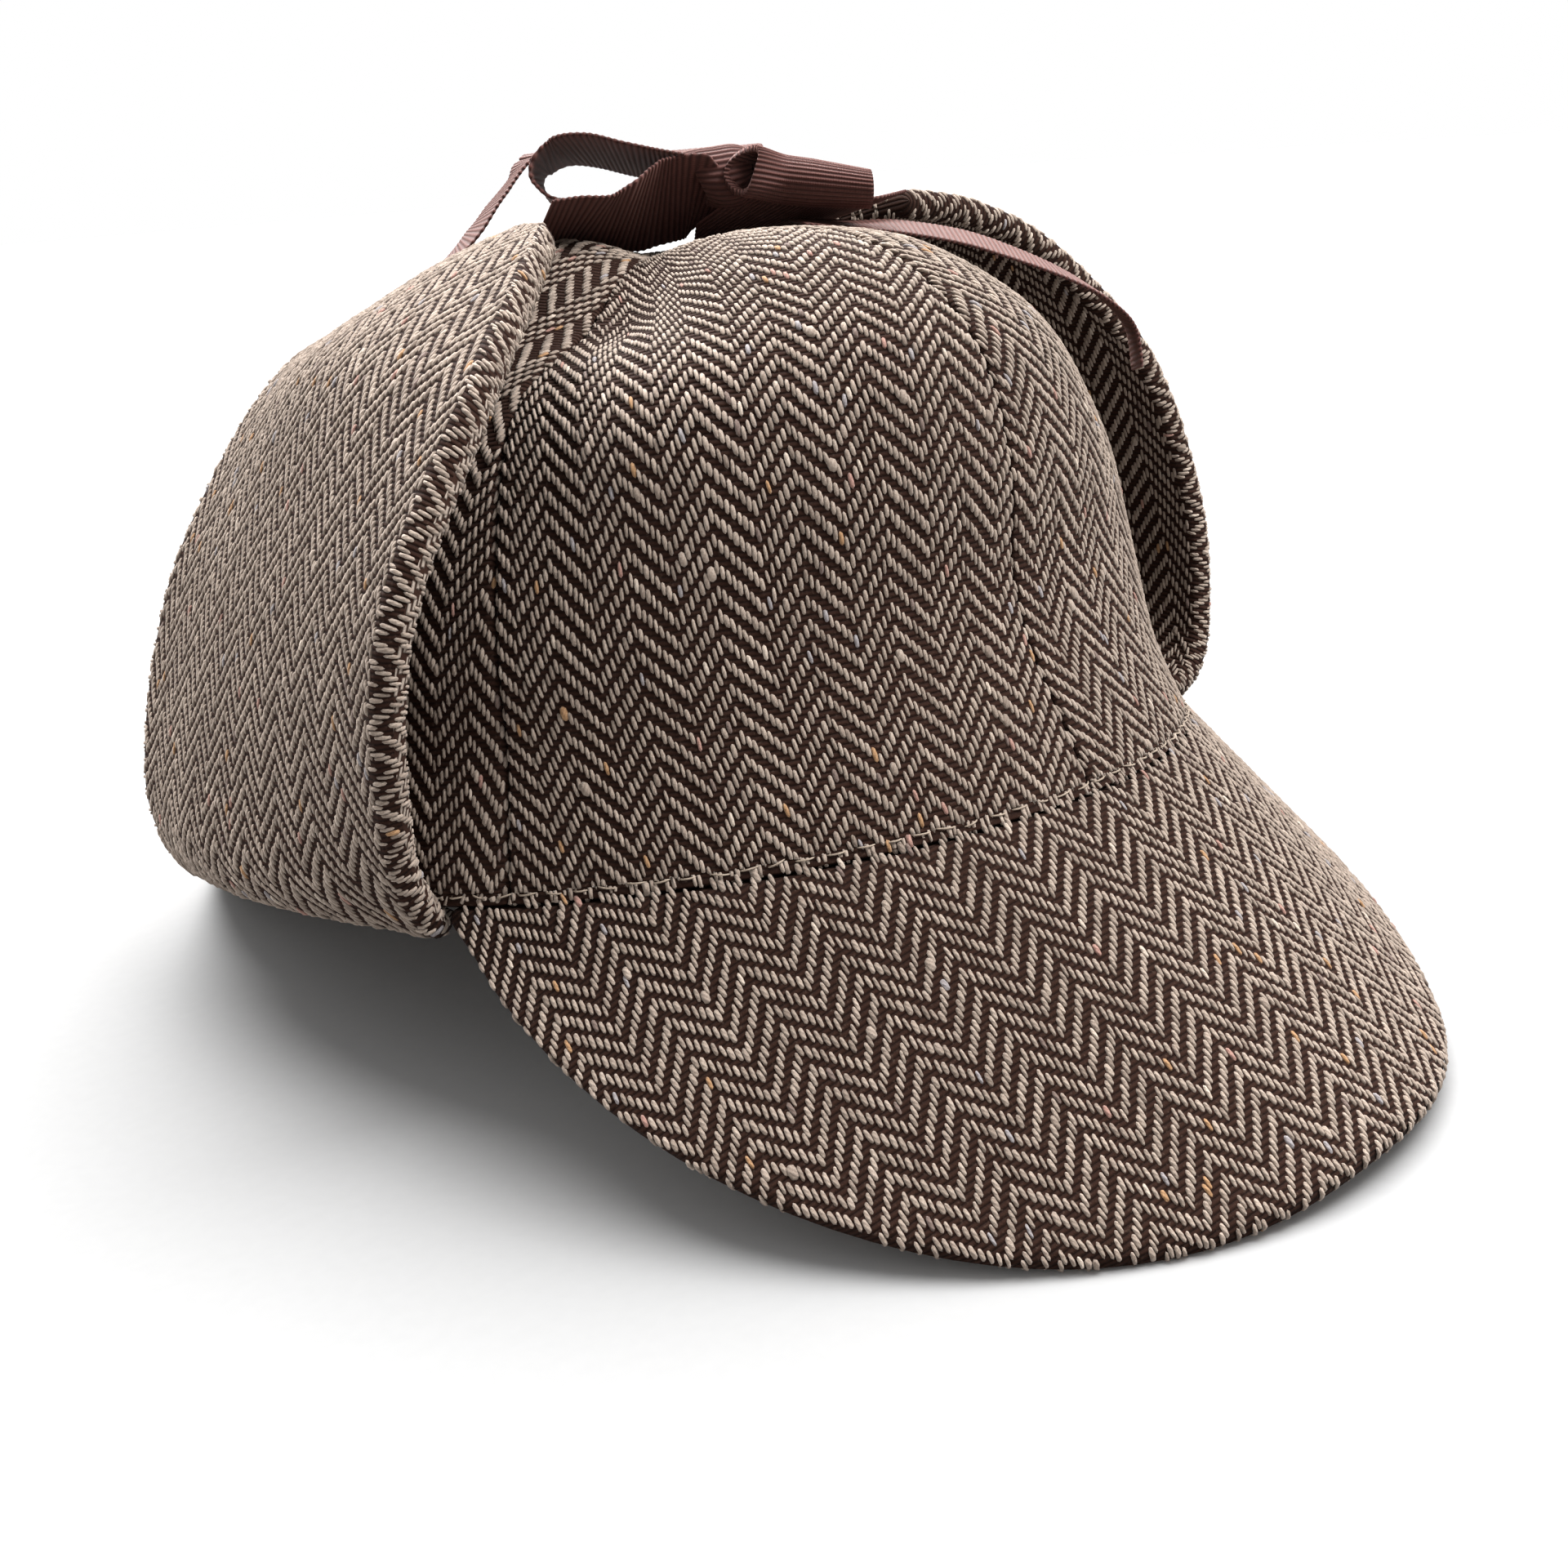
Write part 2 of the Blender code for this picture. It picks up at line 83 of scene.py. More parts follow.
GORE_HALF = 1.0       # half the thickness of the crown's cloth
SEAM = 0.15           # what is left between two gores
STITCH_UP = 1.5       # the hem's stitches above the crown's edge
HEM_SWELL = 0.5       # how far the hem's fold stands out below the stitches
FOLD_TALL, STITCH_TALL = 0.9, 0.5
GORE_ROWS, GORE_COLUMNS = 73, 49
UNDER_FLAP = (27, 72)       # s and t up to which a side gore is hidden by its ear flap
TILT = math.radians(8.32)
KNOT_AT = (13.4, -27.0, 103.4)

END = 0.78            # from one warp end to the next
PICK = 0.885          # from one weft pick to the next
STRIPE = 8            # warp ends between two turns of the herringbone


def leaned(points):
    """The hat frame leaned back by TILT about X, still in millimetres."""
    x, y, z = np.moveaxis(np.asarray(points, float), -1, 0)
    return np.stack([x, y * math.cos(TILT) + z * math.sin(TILT),
                     z * math.cos(TILT) - y * math.sin(TILT)], -1)


knot_low, knot_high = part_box("bow_knot")
SHIFT = 500 * np.array(knot_low + knot_high) - leaned(KNOT_AT)


def seated(points):
    """The hat frame in millimetres to the row frame in metres; no point goes below the floor."""
    points = (leaned(points) + SHIFT) * 0.001
    points[..., 2] = np.maximum(points[..., 2], 0)
    return points


def unit(vectors):
    return vectors / np.maximum(np.linalg.norm(vectors, axis=-1, keepdims=True), 1e-9)


def run_along(line):
    """The distance along a line of points."""
    return np.concatenate([[0], np.cumsum(np.linalg.norm(np.diff(line, axis=0), axis=-1))])


def grid_normals(grid):
    return unit(np.cross(np.gradient(grid, axis=0), np.gradient(grid, axis=1)))


def through(table, steps):
    """A Catmull-Rom curve through the rows of a table, sampled at steps + 1 places."""
    rows = np.asarray(table, float)
    place = np.linspace(0, len(rows) - 1, steps + 1)
    k = np.minimum(place.astype(int), len(rows) - 2)
    t = (place - k).reshape((-1,) + (1,) * (rows.ndim - 1))
    a, b, c, d = rows[np.maximum(k - 1, 0)], rows[k], rows[k + 1], rows[np.minimum(k + 2, len(rows) - 1)]
    return b + 0.5 * t * (c - a + t * (2 * a - 5 * b + 4 * c - d + t * (3 * (b - c) + d - a)))


def blend(rows, k, share):
    """Between the rows k and k + 1."""
    return rows[k] * (1 - share) + rows[k + 1] * share


def eased(at, angle):
    """The interval of the table at that each angle lies in, and how far along, eased."""
    k = np.clip(np.searchsorted(at, angle, side="right") - 1, 0, len(at) - 2)
    t = (angle - at[k]) / (at[k + 1] - at[k])
    return k, t * t * (3 - 2 * t)


def edge_lift(angle):
    """How far the crown's lower edge rises above the opening's plane."""
    at, rise = np.array(EDGE_LIFT).T
    k, t = eased(at, np.abs((np.degrees(angle) + 180) % 360 - 180))
    return blend(rise, k, t)


def crown_surface(angle, level):
    """The dome: each level's share of the opening's ellipse, shrunk about the pole and eased
    between the profile's angles, swollen between the seams and dented by the soft hollows."""
    table = through(PROFILE, PROFILE_FINE * (len(PROFILE) - 1))
    low = np.minimum((PROFILE_FINE * level).astype(int), len(table) - 2)
    rows = blend(table, low, (PROFILE_FINE * level - low)[..., None])
    k, t = eased(np.radians(PROFILE_ANGLES), (angle + math.pi) % (2 * math.pi) - math.pi)
    around = np.take_along_axis(rows[..., 1:], k[..., None] + (0, 1), -1)
    share = blend(np.moveaxis(around, -1, 0), 0, t)
    swell = np.abs(np.sin(3 * angle)) ** 0.8 * np.sin(math.pi * np.minimum(share, 1)) ** 0.5
    share = share * (1 + GORE_BULGE * swell)
    skin = np.stack([-HALF_WIDTH * np.sin(angle) * share,
                     POLE_Y + (-HALF_LENGTH * np.cos(angle) - POLE_Y) * share,
                     rows[..., 0] + edge_lift(angle) * (1 - level / LEVEL_RISE)], -1)
    dented = skin.copy()
    for *place, spread, deep in DENTS:
        off = ((skin - place) ** 2).sum(-1, keepdims=True) / spread ** 2
        dented -= deep * np.exp(-off) * unit(skin - HEAD_MIDDLE)
    return dented


def sample(grid, row, column):
    """A grid's value at fractional rows and columns, blended from the four nearest."""
    r = np.clip(row.astype(int), 0, grid.shape[0] - 2)
    c = np.clip(column.astype(int), 0, grid.shape[1] - 2)
    fr, fc = (row - r)[..., None], (column - c)[..., None]
    return ((1 - fr) * ((1 - fc) * grid[r, c] + fc * grid[r, c + 1])
            + fr * ((1 - fc) * grid[r + 1, c] + fc * grid[r + 1, c + 1]))


def turned(left, half):
    """Cloth turned round an edge, following a quarter circle of radius half, by what is left
    of it before its end: how far in from the edge it is, and the share of the thickness."""
    left = np.maximum(left, 0)
    bend = np.minimum(left / half, math.pi / 2)
    return half * (1 - np.cos(bend)) + np.maximum(left - half * math.pi / 2, 0), np.sin(bend)


class Panel:
    """A sewn panel: a grid on the cloth's middle surface, and both faces half a thickness
    away. s runs across the warp from the panel's middle line and t along it from the lower
    edge, in mm of cloth. bead thickens both side edges, by a share of the thickness."""

    def __init__(self, middle, half, outward=1, bead=0.0):
        steps = np.linalg.norm(np.diff(middle, axis=1), axis=-1)
        run = np.concatenate([np.zeros((len(middle), 1)), np.cumsum(steps, 1)], 1)
        even = np.linspace(0, 1, middle.shape[1])
        columns = [np.interp(even * r[-1], r, np.arange(len(r))) for r in run]
        self.middle = sample(middle, np.arange(len(middle), dtype=float)[:, None], np.array(columns))
        self.out = outward * grid_normals(self.middle)
        self.wide = run[:, -1]
        self.along = run_along(self.middle[:, len(even) // 2])
        self.half = half
        self.bead = bead
        self.extra = (math.pi / 2 - 1) * half

    def reach(self, t):
        """Half the width of the cloth at t, the turned edge included."""
        return np.interp(t, self.along, self.wide) / 2 + self.extra

    def near(self, s, t):
        """The part of the surface each place lies on; only a peak has more than one."""
        return np.zeros(len(s), int)

    def holds(self, s, t, near, margin):
        """Which places lie on the panel, turned edges included, margin mm inside its border."""
        inside = np.abs(t - self.along[-1] / 2) < self.along[-1] / 2 + self.extra - 1.6 * margin
        return inside & (np.abs(s) < self.reach(t) - margin)

    def point(self, s, t, side, near=None):
        middle = self.along[-1] / 2
        inset, deep_t = turned(middle + self.extra - np.abs(t - middle), self.half)
        along = np.sign(t - middle) * (middle - inset) + middle
        row = np.interp(along, self.along, np.arange(len(self.along)))
        wide = np.interp(row, np.arange(len(self.wide)), self.wide)
        inset, deep_s = turned(wide / 2 + self.extra - np.abs(s), self.half)
        column = (np.sign(s) * (wide / 2 - inset) / wide + 0.5) * (self.middle.shape[1] - 1)
        bead = 1 + self.bead * inset / self.half * np.exp(1 - inset / self.half)
        lift = (side * self.half * deep_t * deep_s * bead)[..., None]
        return sample(self.middle, row, column) + sample(self.out, row, column) * lift

    def span(self):
        """The widest s and the lowest and highest t of the cloth."""
        return self.wide.max() / 2 + self.extra, -self.extra, self.along[-1] + self.extra


def quads_of(index):
    """The quads between neighbouring rows and columns of a grid of indices."""
    return np.stack([index[:-1, :-1], index[1:, :-1], index[1:, 1:], index[:-1, 1:]], -1).reshape(-1, 4)


def corner_normals(points, quads):
    """Each quad's normal at its first corner."""
    first = points[quads[:, 0]]
    return np.cross(points[quads[:, 1]] - first, points[quads[:, 3]] - first)


def crowded(count, pull=0.86):
    """count + 1 places from 0 to 1, closer together at the two ends."""
    x = np.linspace(0, 1, count + 1)
    return x - pull * np.sin(2 * math.pi * x) / (2 * math.pi)


def build(name, points, quads, finishes, which=None, tris=None, maps=None, colours=None):
    """A smooth-shaded mesh from arrays. points are in the hat frame in mm, maps hold a UV
    pair for each point or for each face corner, colours a colour for each point."""
    tris = np.zeros((0, 3), int) if tris is None else tris
    used, loops = np.unique(np.concatenate([quads.ravel(), tris.ravel()]), return_inverse=True)
    starts = np.concatenate([4 * np.arange(len(quads)), 4 * len(quads) + 3 * np.arange(len(tris))])
    mesh = bpy.data.meshes.new(name)
    mesh.vertices.add(len(used))
    mesh.vertices.foreach_set("co", seated(points[used]).ravel())
    mesh.loops.add(len(loops))
    mesh.loops.foreach_set("vertex_index", loops)
    mesh.polygons.add(len(starts))
    mesh.polygons.foreach_set("loop_start", starts)
    if which is not None:
        mesh.polygons.foreach_set("material_index", which)
    for finish in finishes:
        mesh.materials.append(finish)
    for title, pairs in (maps or {}).items():
        layer = mesh.uv_layers.new(name=title)
        pairs = pairs if len(pairs) == len(loops) else pairs[used][loops]
        layer.data.foreach_set("uv", pairs.astype(np.float32).ravel())
    if colours is not None:
        layer = mesh.color_attributes.new("yarn", "FLOAT_COLOR", "POINT")
        rgba = np.concatenate([colours[used], np.ones((len(used), 1))], 1)
        layer.data.foreach_set("color", rgba.astype(np.float32).ravel())
    mesh.update(calc_edges=True)
    mesh.validate()
    mesh.shade_smooth()
    piece = bpy.data.objects.new(name, mesh)
    bpy.context.scene.collection.objects.link(piece)
    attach(piece, "root")
    return piece


class Wire:
    """A node's output in an expression: the operators add Math nodes."""

    def __init__(self, nodes, socket):
        self.nodes = nodes
        self.socket = socket

    def math(self, operation, *others):
        return self.nodes.math(operation, self, *others)

    def __add__(self, other):
        return self.math("ADD", other)

    def __sub__(self, other):
        return self.math("SUBTRACT", other)

    def __rsub__(self, other):
        return self.nodes.math("SUBTRACT", other, self)

    def __mul__(self, other):
        return self.math("MULTIPLY", other)

    def __truediv__(self, other):
        return self.math("DIVIDE", other)

    __radd__ = __add__
    __rmul__ = __mul__


class Nodes:
    """A node tree whose nodes are made one at a time, or by the operators of Wire."""

    def __init__(self, tree):
        self.tree = tree

    def feed(self, socket, value):
        if isinstance(value, Wire):
            self.tree.links.new(value.socket, socket)
        else:
            socket.default_value = value

    def node(self, kind, settings, sockets, output=0):
        made = self.tree.nodes.new("ShaderNode" + kind)
        for name, value in settings.items():
            setattr(made, name, value)
        for name, value in sockets.items():
            self.feed(made.inputs[name], value)
        return Wire(self, made.outputs[output])

    def math(self, operation, *values):
        return self.node("Math", {"operation": operation}, dict(enumerate(values)))


class Finish(Nodes):
    """A material: fixed values on its shader's sockets, and expressions that lead to others."""

    def __init__(self, name, **fixed):
        self.material = bpy.data.materials.new(name)
        self.material.use_nodes = True
        super().__init__(self.material.node_tree)
        self.shader = self.tree.nodes["Principled BSDF"]
        for socket, value in fixed.items():
            self.shader.inputs[socket.replace("_", " ")].default_value = value

    def mix(self, share, one, two, blend="MIX"):
        return self.node("Mix", {"data_type": "RGBA", "blend_type": blend}, {0: share, 6: one, 7: two}, 2)

    def map(self, title):
        """The two coordinates of a UV map."""
        pair = self.node("UVMap", {"uv_map": title}, {})
        return [self.node("SeparateXYZ", {}, {0: pair}, k) for k in (0, 1)]

    def noise(self, scale, detail=3.0, roughness=0.55):
        """Noise on the object's own coordinates, scale features to the metre."""
        place = self.node("TexCoord", {}, {}, 3)
        return self.node("TexNoise", {}, {"Vector": place, "Scale": scale, "Detail": detail,
                                          "Roughness": roughness})

    def cover(self, colour, height):
        """Gives the shader its colour, and a normal turned by a height in mm."""
        bump = self.node("Bump", {}, {"Height": height, "Distance": 0.001})
        self.feed(self.shader.inputs["Base Color"], colour)
        self.feed(self.shader.inputs["Normal"], bump)
        return self.material


def smooth(value, low, high):
    """0 below low, 1 above high, eased between them."""
    return value.nodes.node("MapRange", {"interpolation_type": "SMOOTHSTEP"},
                             {0: value, 1: low, 2: high})


YARN_DARK = (0.028, 0.0118, 0.0075, 1)
# painted shade for the grooves between the weft's rounded picks
PICK_GROOVE_SHADE = (0.008, 0.0031, 0.002, 1)
YARN_LINT = (0.100, 0.066, 0.050, 1)
YARN_DIM = (0.26, 0.20, 0.165, 1)
YARN_PALE = (0.45, 0.38, 0.32, 1)
# painted shade: the pale yarn is multiplied by this where its fibres part and along its twist
FIBRE_GAP_SHADE = (0.62, 0.57, 0.54, 1)


def pale_yarn():
    """The pale warp: each float's own colour, with painted shade where the fibres part and
    in the fine slanting grooves of the two-ply twist."""
    yarn = Finish("pale_warp_yarn", Roughness=0.92, Specular_IOR_Level=0.2, Sheen_Weight=0.10,
                  Sheen_Roughness=0.5)
    s, t = yarn.map("Weave")
    twist = ((s * 9.0 + t * 5.2).math("SINE")) * 0.5 + 0.5
    fibre = yarn.noise(5200.0)
    own = yarn.node("Attribute", {"attribute_name": "yarn"}, {})
    # painted shade in the gaps between fibres and in the twist's grooves
    shade = smooth(fibre, 0.3, 0.75) * 0.5 + twist * 0.25
    dim = yarn.mix(1.0, own, FIBRE_GAP_SHADE, "MULTIPLY")
    return yarn.cover(yarn.mix(shade, dim, own), twist * 0.06 + fibre * 0.10)


def dark_ground():
    """The dark weft between the floats: rounded picks with painted shade in the grooves between them,
    dusted with pale lint.
    """
    ground = Finish("dark_weft_ground", Roughness=0.95, Specular_IOR_Level=0.12)
    pick = (ground.map("Weave")[1] * (math.pi / PICK)).math("SINE").math("ABSOLUTE")
    fibre = ground.noise(4200.0)
    lint = smooth(ground.noise(1700.0), 0.56, 0.8) * 0.45
    # painted shade where two picks meet, mixed with random fibre tone
    colour = ground.mix(pick * 0.7 + fibre * 0.3, PICK_GROOVE_SHADE, YARN_DARK)
    return ground.cover(ground.mix(lint, colour, YARN_LINT), pick * 0.25 + fibre * 0.12)


def drawn_tweed():
    """The same cloth where it is hidden from outside: the floats are drawn, not modelled. A
    float is where the pick, less the end's step in the herringbone, is near a multiple of 4."""
    cloth = Finish("tweed_wrong_side", Roughness=0.95, Specular_IOR_Level=0.15)
    s, t = cloth.map("Weave")
    end = (s / END).math("FLOOR")
    step = STRIPE - ((end.math("FLOORED_MODULO", 2 * STRIPE)) - STRIPE).math("ABSOLUTE")
    pick = (t / PICK - step + 2.0).math("FLOORED_MODULO", 4.0) - 2.0
    lengthwise = 1.0 - smooth(pick.math("ABSOLUTE"), 0.85, 1.25)
    across = ((s / END).math("FRACT") * math.pi).math("SINE")
    float_mask = lengthwise * smooth(across, 0.25, 0.7)
    fibre = cloth.noise(3800.0)
    pale = cloth.mix(fibre, YARN_DIM, YARN_PALE)
    return cloth.cover(cloth.mix(float_mask, YARN_DARK, pale), float_mask * across * 0.4 + fibre * 0.1)


PALE = pale_yarn()
GROUND = dark_ground()
DRAWN = drawn_tweed()
FLOAT_LONG = 2.32     # a float covers two picks and dips under at both ends
FLOAT_WIDE = 0.75
FLOAT_HIGH = 0.40
FLOAT_SUNK = 0.12     # how deep the float's underside lies in the ground
FLOAT_LEAN = 0.11     # the yarn's twist turns each float a little off the warp
FLOAT_INSIDE = 0.35   # between the outermost floats' middles and the border
FLOAT_TONES = np.array([[0.235, 0.188, 0.154], [0.48, 0.402, 0.338]])
FLECKS = np.array([[0.42, 0.25, 0.13], [0.40, 0.24, 0.20], [0.20, 0.15, 0.13], [0.60, 0.52, 0.44],
                   [0.33, 0.31, 0.32]])
FLECK_SHARE = 0.03
FAT_SLUBS, SLUBS = 0.004, 0.02     # shares of the floats that are slubs
FLOAT_CORNERS = (-1, -0.6, 0.6, 1)
YARN_VARIES = (0.07, 0.05)                 # from one end to the next: its width and tone
PLACE_VARIES = (0.03, 0.06)                # from float to float: s and t in mm
FLOAT_VARIES = (0.09, 0.12, 0.06, 0.05)    # width, height, length and lean
TONE_VARIES = 0.17
NUDGE = 0.15          # mm either way, for the directions of s and t
BORDER = 0.06         # round each float on the bake map, as a share of its cell
FLOAT_RINGS = {  # by the number of rings: their places along the float, widths and heights
    3: ((-1, -0.68, 0, 0.68, 1), (0.84, 1.0, 0.84), (0.74, 1.0, 0.74)),
    2: ((-1, -0.5, 0.5, 1), (0.95, 0.95), (0.9, 0.9)),
}


def float_template(rings):
    """Faces and bake-map corners of one float: a tip, rings of four points, a tip."""
    first = 1 + 4 * np.arange(rings)
    tip = 4 * rings + 1
    quads, quad_map, tris, tri_map = [], [], [], []
    for k in range(4):
        n, x0, x1, xm = (k + 1) % 4, k / 4, (k + 1) / 4, (k + 0.5) / 4
        for j, (a, b) in enumerate(zip(first[:-1], first[1:])):
            y0, y1 = (j + 1) / (rings + 1), (j + 2) / (rings + 1)
            quads.append((a + k, b + k, b + n, a + n))
            quad_map.append(((x0, y0), (x0, y1), (x1, y1), (x1, y0)))
        y0, y1 = 1 / (rings + 1), rings / (rings + 1)
        tris += [(0, first[0] + k, first[0] + n), (tip, first[-1] + n, first[-1] + k)]
        tri_map += [((xm, 0), (x0, y0), (x1, y0)), ((xm, 1), (x1, y1), (x0, y1))]
    return np.array(quads), np.array(quad_map), np.array(tris), np.array(tri_map)


def grains(rng, panel, side, rings, bare):
    """The floats of one lay: points, places in the weave and colours, float by float, and the
    faces they share. End i floats over two picks of every four, one pick later than its
    neighbour, and the step turns back every STRIPE ends."""
    s_max, t_low, t_high = panel.span()
    ends = np.arange(-int(s_max / END) - 1, int(s_max / END) + 1)
    turns = np.arange(-4, int((t_high - t_low) / (4 * PICK)) + 6)
    end, turn = (g.ravel() for g in np.meshgrid(ends, turns))
    step = STRIPE - np.abs(end % (2 * STRIPE) - STRIPE)
    yarn_fat = rng.normal(1, YARN_VARIES[0], len(ends))[end - ends[0]]
    yarn_tone = rng.normal(0, YARN_VARIES[1], len(ends))[end - ends[0]]
    s = (end + 0.5) * END
    t = t_low + PICK * (4 * (turn - 2) + step)
    near = panel.near(s, t)
    keep = panel.holds(s, t, near, FLOAT_INSIDE)
    if bare is not None:
        keep &= ~bare(s, t)
    s, t, near, yarn_fat, yarn_tone = (values[keep] for values in (s, t, near, yarn_fat, yarn_tone))
    n = len(s)
    s = s + rng.normal(0, PLACE_VARIES[0], n)
    t = t + rng.normal(0, PLACE_VARIES[1], n)
    chance = rng.random(n)
    slub = np.where(chance < FAT_SLUBS, 2.0, np.where(chance < SLUBS, 1.35, 1.0))
    fat = FLOAT_WIDE / 2 * yarn_fat * rng.normal(1, FLOAT_VARIES[0], n) * slub
    high = FLOAT_HIGH * rng.normal(1, FLOAT_VARIES[1], n) * np.sqrt(slub)
    long = FLOAT_LONG / 2 * rng.normal(1, FLOAT_VARIES[2], n)
    lean = rng.normal(FLOAT_LEAN, FLOAT_VARIES[3], n) * side
    at, wide, tall = map(np.array, FLOAT_RINGS[rings])
    ss = s[:, None] + lean[:, None] * at * long[:, None]
    tt = t[:, None] + at * long[:, None]
    near = np.repeat(near[:, None], len(at), 1)
    line = panel.point(ss, tt, side, near)
    over = unit(panel.point(ss + NUDGE, tt, side, near) - panel.point(ss - NUDGE, tt, side, near))
    ahead = unit(panel.point(ss, tt + NUDGE, side, near) - panel.point(ss, tt - NUDGE, side, near))
    up = unit(np.cross(over, ahead))
    flip = np.sign((up * (line - panel.point(ss, tt, -side, near))).sum(-1).mean())
    up = up * flip
    tips = line[:, [0, -1]] - up[:, [0, -1]] * FLOAT_SUNK
    body = line[:, 1:-1, None] + np.einsum("nrc,n,r,k->nrkc", over[:, 1:-1], fat, wide, FLOAT_CORNERS)
    rise = np.array((0, 1, 1, 0)) * tall[:, None] * high[:, None, None] - FLOAT_SUNK
    body = body + up[:, 1:-1, None] * rise[..., None]
    points = np.concatenate([tips[:, :1], body.reshape(n, -1, 3), tips[:, 1:]], 1)
    shared = float_template(rings)
    if flip > 0:
        shared = [corners[:, ::-1] for corners in shared]
    lateral = fat[:, None, None] * wide[:, None] * np.array(FLOAT_CORNERS)
    weave_s = np.concatenate([ss[:, :1], (ss[:, 1:-1, None] + lateral).reshape(n, -1), ss[:, -1:]], 1)
    weave_t = np.concatenate([tt[:, :1], np.repeat(tt[:, 1:-1], 4, 1), tt[:, -1:]], 1)
    tone = np.clip(rng.normal(0.5, TONE_VARIES, n) + 2 * yarn_tone, 0, 1)[:, None]
    colour = FLOAT_TONES[0] * (1 - tone) + FLOAT_TONES[1] * tone
    fleck = rng.random(n) < FLECK_SHARE
    colour[fleck] = FLECKS[rng.integers(0, len(FLECKS), n)][fleck]
    return points, np.stack([weave_s, weave_t], -1), colour, *shared


def lay_floats(name, lays, seed):
    """The pale floats of a 2/2 herringbone, each a small closed grain carried along the cloth.
    A lay is a surface, its side, the rings of each grain, and which places stay bare."""
    rng = np.random.default_rng(seed)
    parts = []
    start = count = 0
    for lay in lays:
        points, weave, colour, quads, quad_map, tris, tri_map = grains(rng, *lay)
        n, size = points.shape[:2]
        cell = (count + np.arange(n))[:, None, None]
        first = start + size * (cell - count)
        corners = [np.stack(np.broadcast_arrays(cell, *np.moveaxis(place, -1, 0)), -1).reshape(-1, 3)
                   for place in (quad_map, tri_map)]
        parts.append((points.reshape(-1, 3), (quads + first).reshape(-1, 4), (tris + first).reshape(-1, 3),
                      *corners, weave.reshape(-1, 2), colour.repeat(size, 0)))
        start += n * size
        count += n
    points, quads, tris, quad_corners, tri_corners, weave, colours = map(np.concatenate, zip(*parts))
    cell, x, y = np.concatenate([quad_corners, tri_corners]).T
    cells = math.ceil(math.sqrt(count))
    x, y = (k + BORDER + (1 - 2 * BORDER) * place for k, place in ((cell % cells, x), (cell // cells, y)))
    return build(name, points, quads, [PALE], tris=tris, colours=colours,
                 maps={"OFBake": np.stack([x, y], -1) / cells, "Weave": weave})


def two_skins(name, skins, weave, bake, finishes):
    """A thin closed piece from a grid of points on each of its faces, welded along the
    border. On both maps each face has its own places, the welded border too; the second
    face's lie half a bake map further on. The last finish is the second face's."""
    points = np.concatenate([skin.reshape(-1, 3) for skin in skins])
    first = np.arange(weave[..., 0].size).reshape(weave.shape[:2])
    second = first + first.size
    welded = second.copy()
    welded[[0, -1]], welded[:, [0, -1]] = first[[0, -1]], first[:, [0, -1]]
    front = quads_of(first)
    faces = np.concatenate([front, quads_of(welded)[:, ::-1]])
    own = np.concatenate([front, quads_of(second)[:, ::-1]])
    away = points[front[:, 0]] - points[front[:, 0] + first.size]
    if (corner_normals(points, front) * away).sum() < 0:
        faces, own = faces[:, ::-1], own[:, ::-1]
    which = np.repeat((0, len(finishes) - 1), len(front)).astype(np.int32)
    weave, bake = weave.reshape(-1, 2), bake.reshape(-1, 2)
    return build(name, points, faces, finishes, which=which, maps={
        "OFBake": np.concatenate([bake, bake + (0.5, 0)])[own.ravel()],
        "Weave": np.concatenate([weave, weave])[own.ravel()]})


def cloth_piece(name, panel, rows, columns, inner):
    """The ground cloth of a panel: both faces, on a grid that is finer where the edges turn."""
    t = -panel.extra + crowded(rows) * (panel.along[-1] + 2 * panel.extra)
    s = (2 * crowded(columns) - 1) * panel.reach(t)[:, None]
    places = np.stack(np.broadcast_arrays(s, t[:, None]), -1)
    skins = [panel.point(*np.moveaxis(places, -1, 0), side) for side in (1.0, -1.0)]
    v, u = np.mgrid[0:1:(rows + 1) * 1j, 0:1:(columns + 1) * 1j]
    bake = np.stack([0.005 + 0.49 * u, 0.005 + 0.99 * v], -1)
    return two_skins(name, skins, places, bake, [GROUND, inner])


def gore_panel(number):
    """The middle surface of a gore, between the seams at 60 degree steps."""
    levels = LOW_LEVEL + (TOP_LEVEL - LOW_LEVEL) * np.linspace(0, 1, GORE_ROWS) ** 1.6
    first, last = math.radians(60 * number), math.radians(60 * number + 60)
    least = np.array(PROFILE)[:, 1:].min(1)
    radius = 0.85 * HALF_WIDTH * np.interp(levels, np.arange(len(PROFILE)), least)
    back = np.arcsin(np.minimum(0.5 * SEAM / radius, 0.5))[:, None]
    angle = (first + back) + (last - first - 2 * back) * np.linspace(0, 1, GORE_COLUMNS)
    outside = crown_surface(angle, np.repeat(levels[:, None], GORE_COLUMNS, 1))
    outward = np.cross(np.gradient(outside, axis=0), np.gradient(outside, axis=1))
    outward[:3, :, 2] = 0     # the hem stands upright
    above = LEVEL_RISE * levels[:, None, None]
    swell = HEM_SWELL * (np.exp(-(above / FOLD_TALL) ** 2)
                         - 0.5 * np.exp(-((above - STITCH_UP) / STITCH_TALL) ** 2))
    return Panel(outside + (swell - GORE_HALF) * unit(outward), GORE_HALF)


def under_flap(s, t):
    """The part of a side gore that its tied-up ear flap hides from every side."""
    return (np.abs(s) < UNDER_FLAP[0]) & (t < UNDER_FLAP[1])


for number, where in enumerate(GORES):
    panel = gore_panel(number)
    name = "crown_gore_" + where
    gore = cloth_piece(name + "_cloth", panel, 40, 40, DRAWN)
    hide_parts(name)
    rings = 3 if where.startswith("front") else 2
    bare = under_flap if where == "side_right" else None
    warp = lay_floats(name + "_warp", [(panel, 1.0, rings, bare)], 100 + number)


# Peaks: two layers of the same tweed over a stiffener, sewn to the crown's lower edge in
# front and behind. The warp runs straight forward, so the herringbone is parallel, and the
# free edge is turned under.

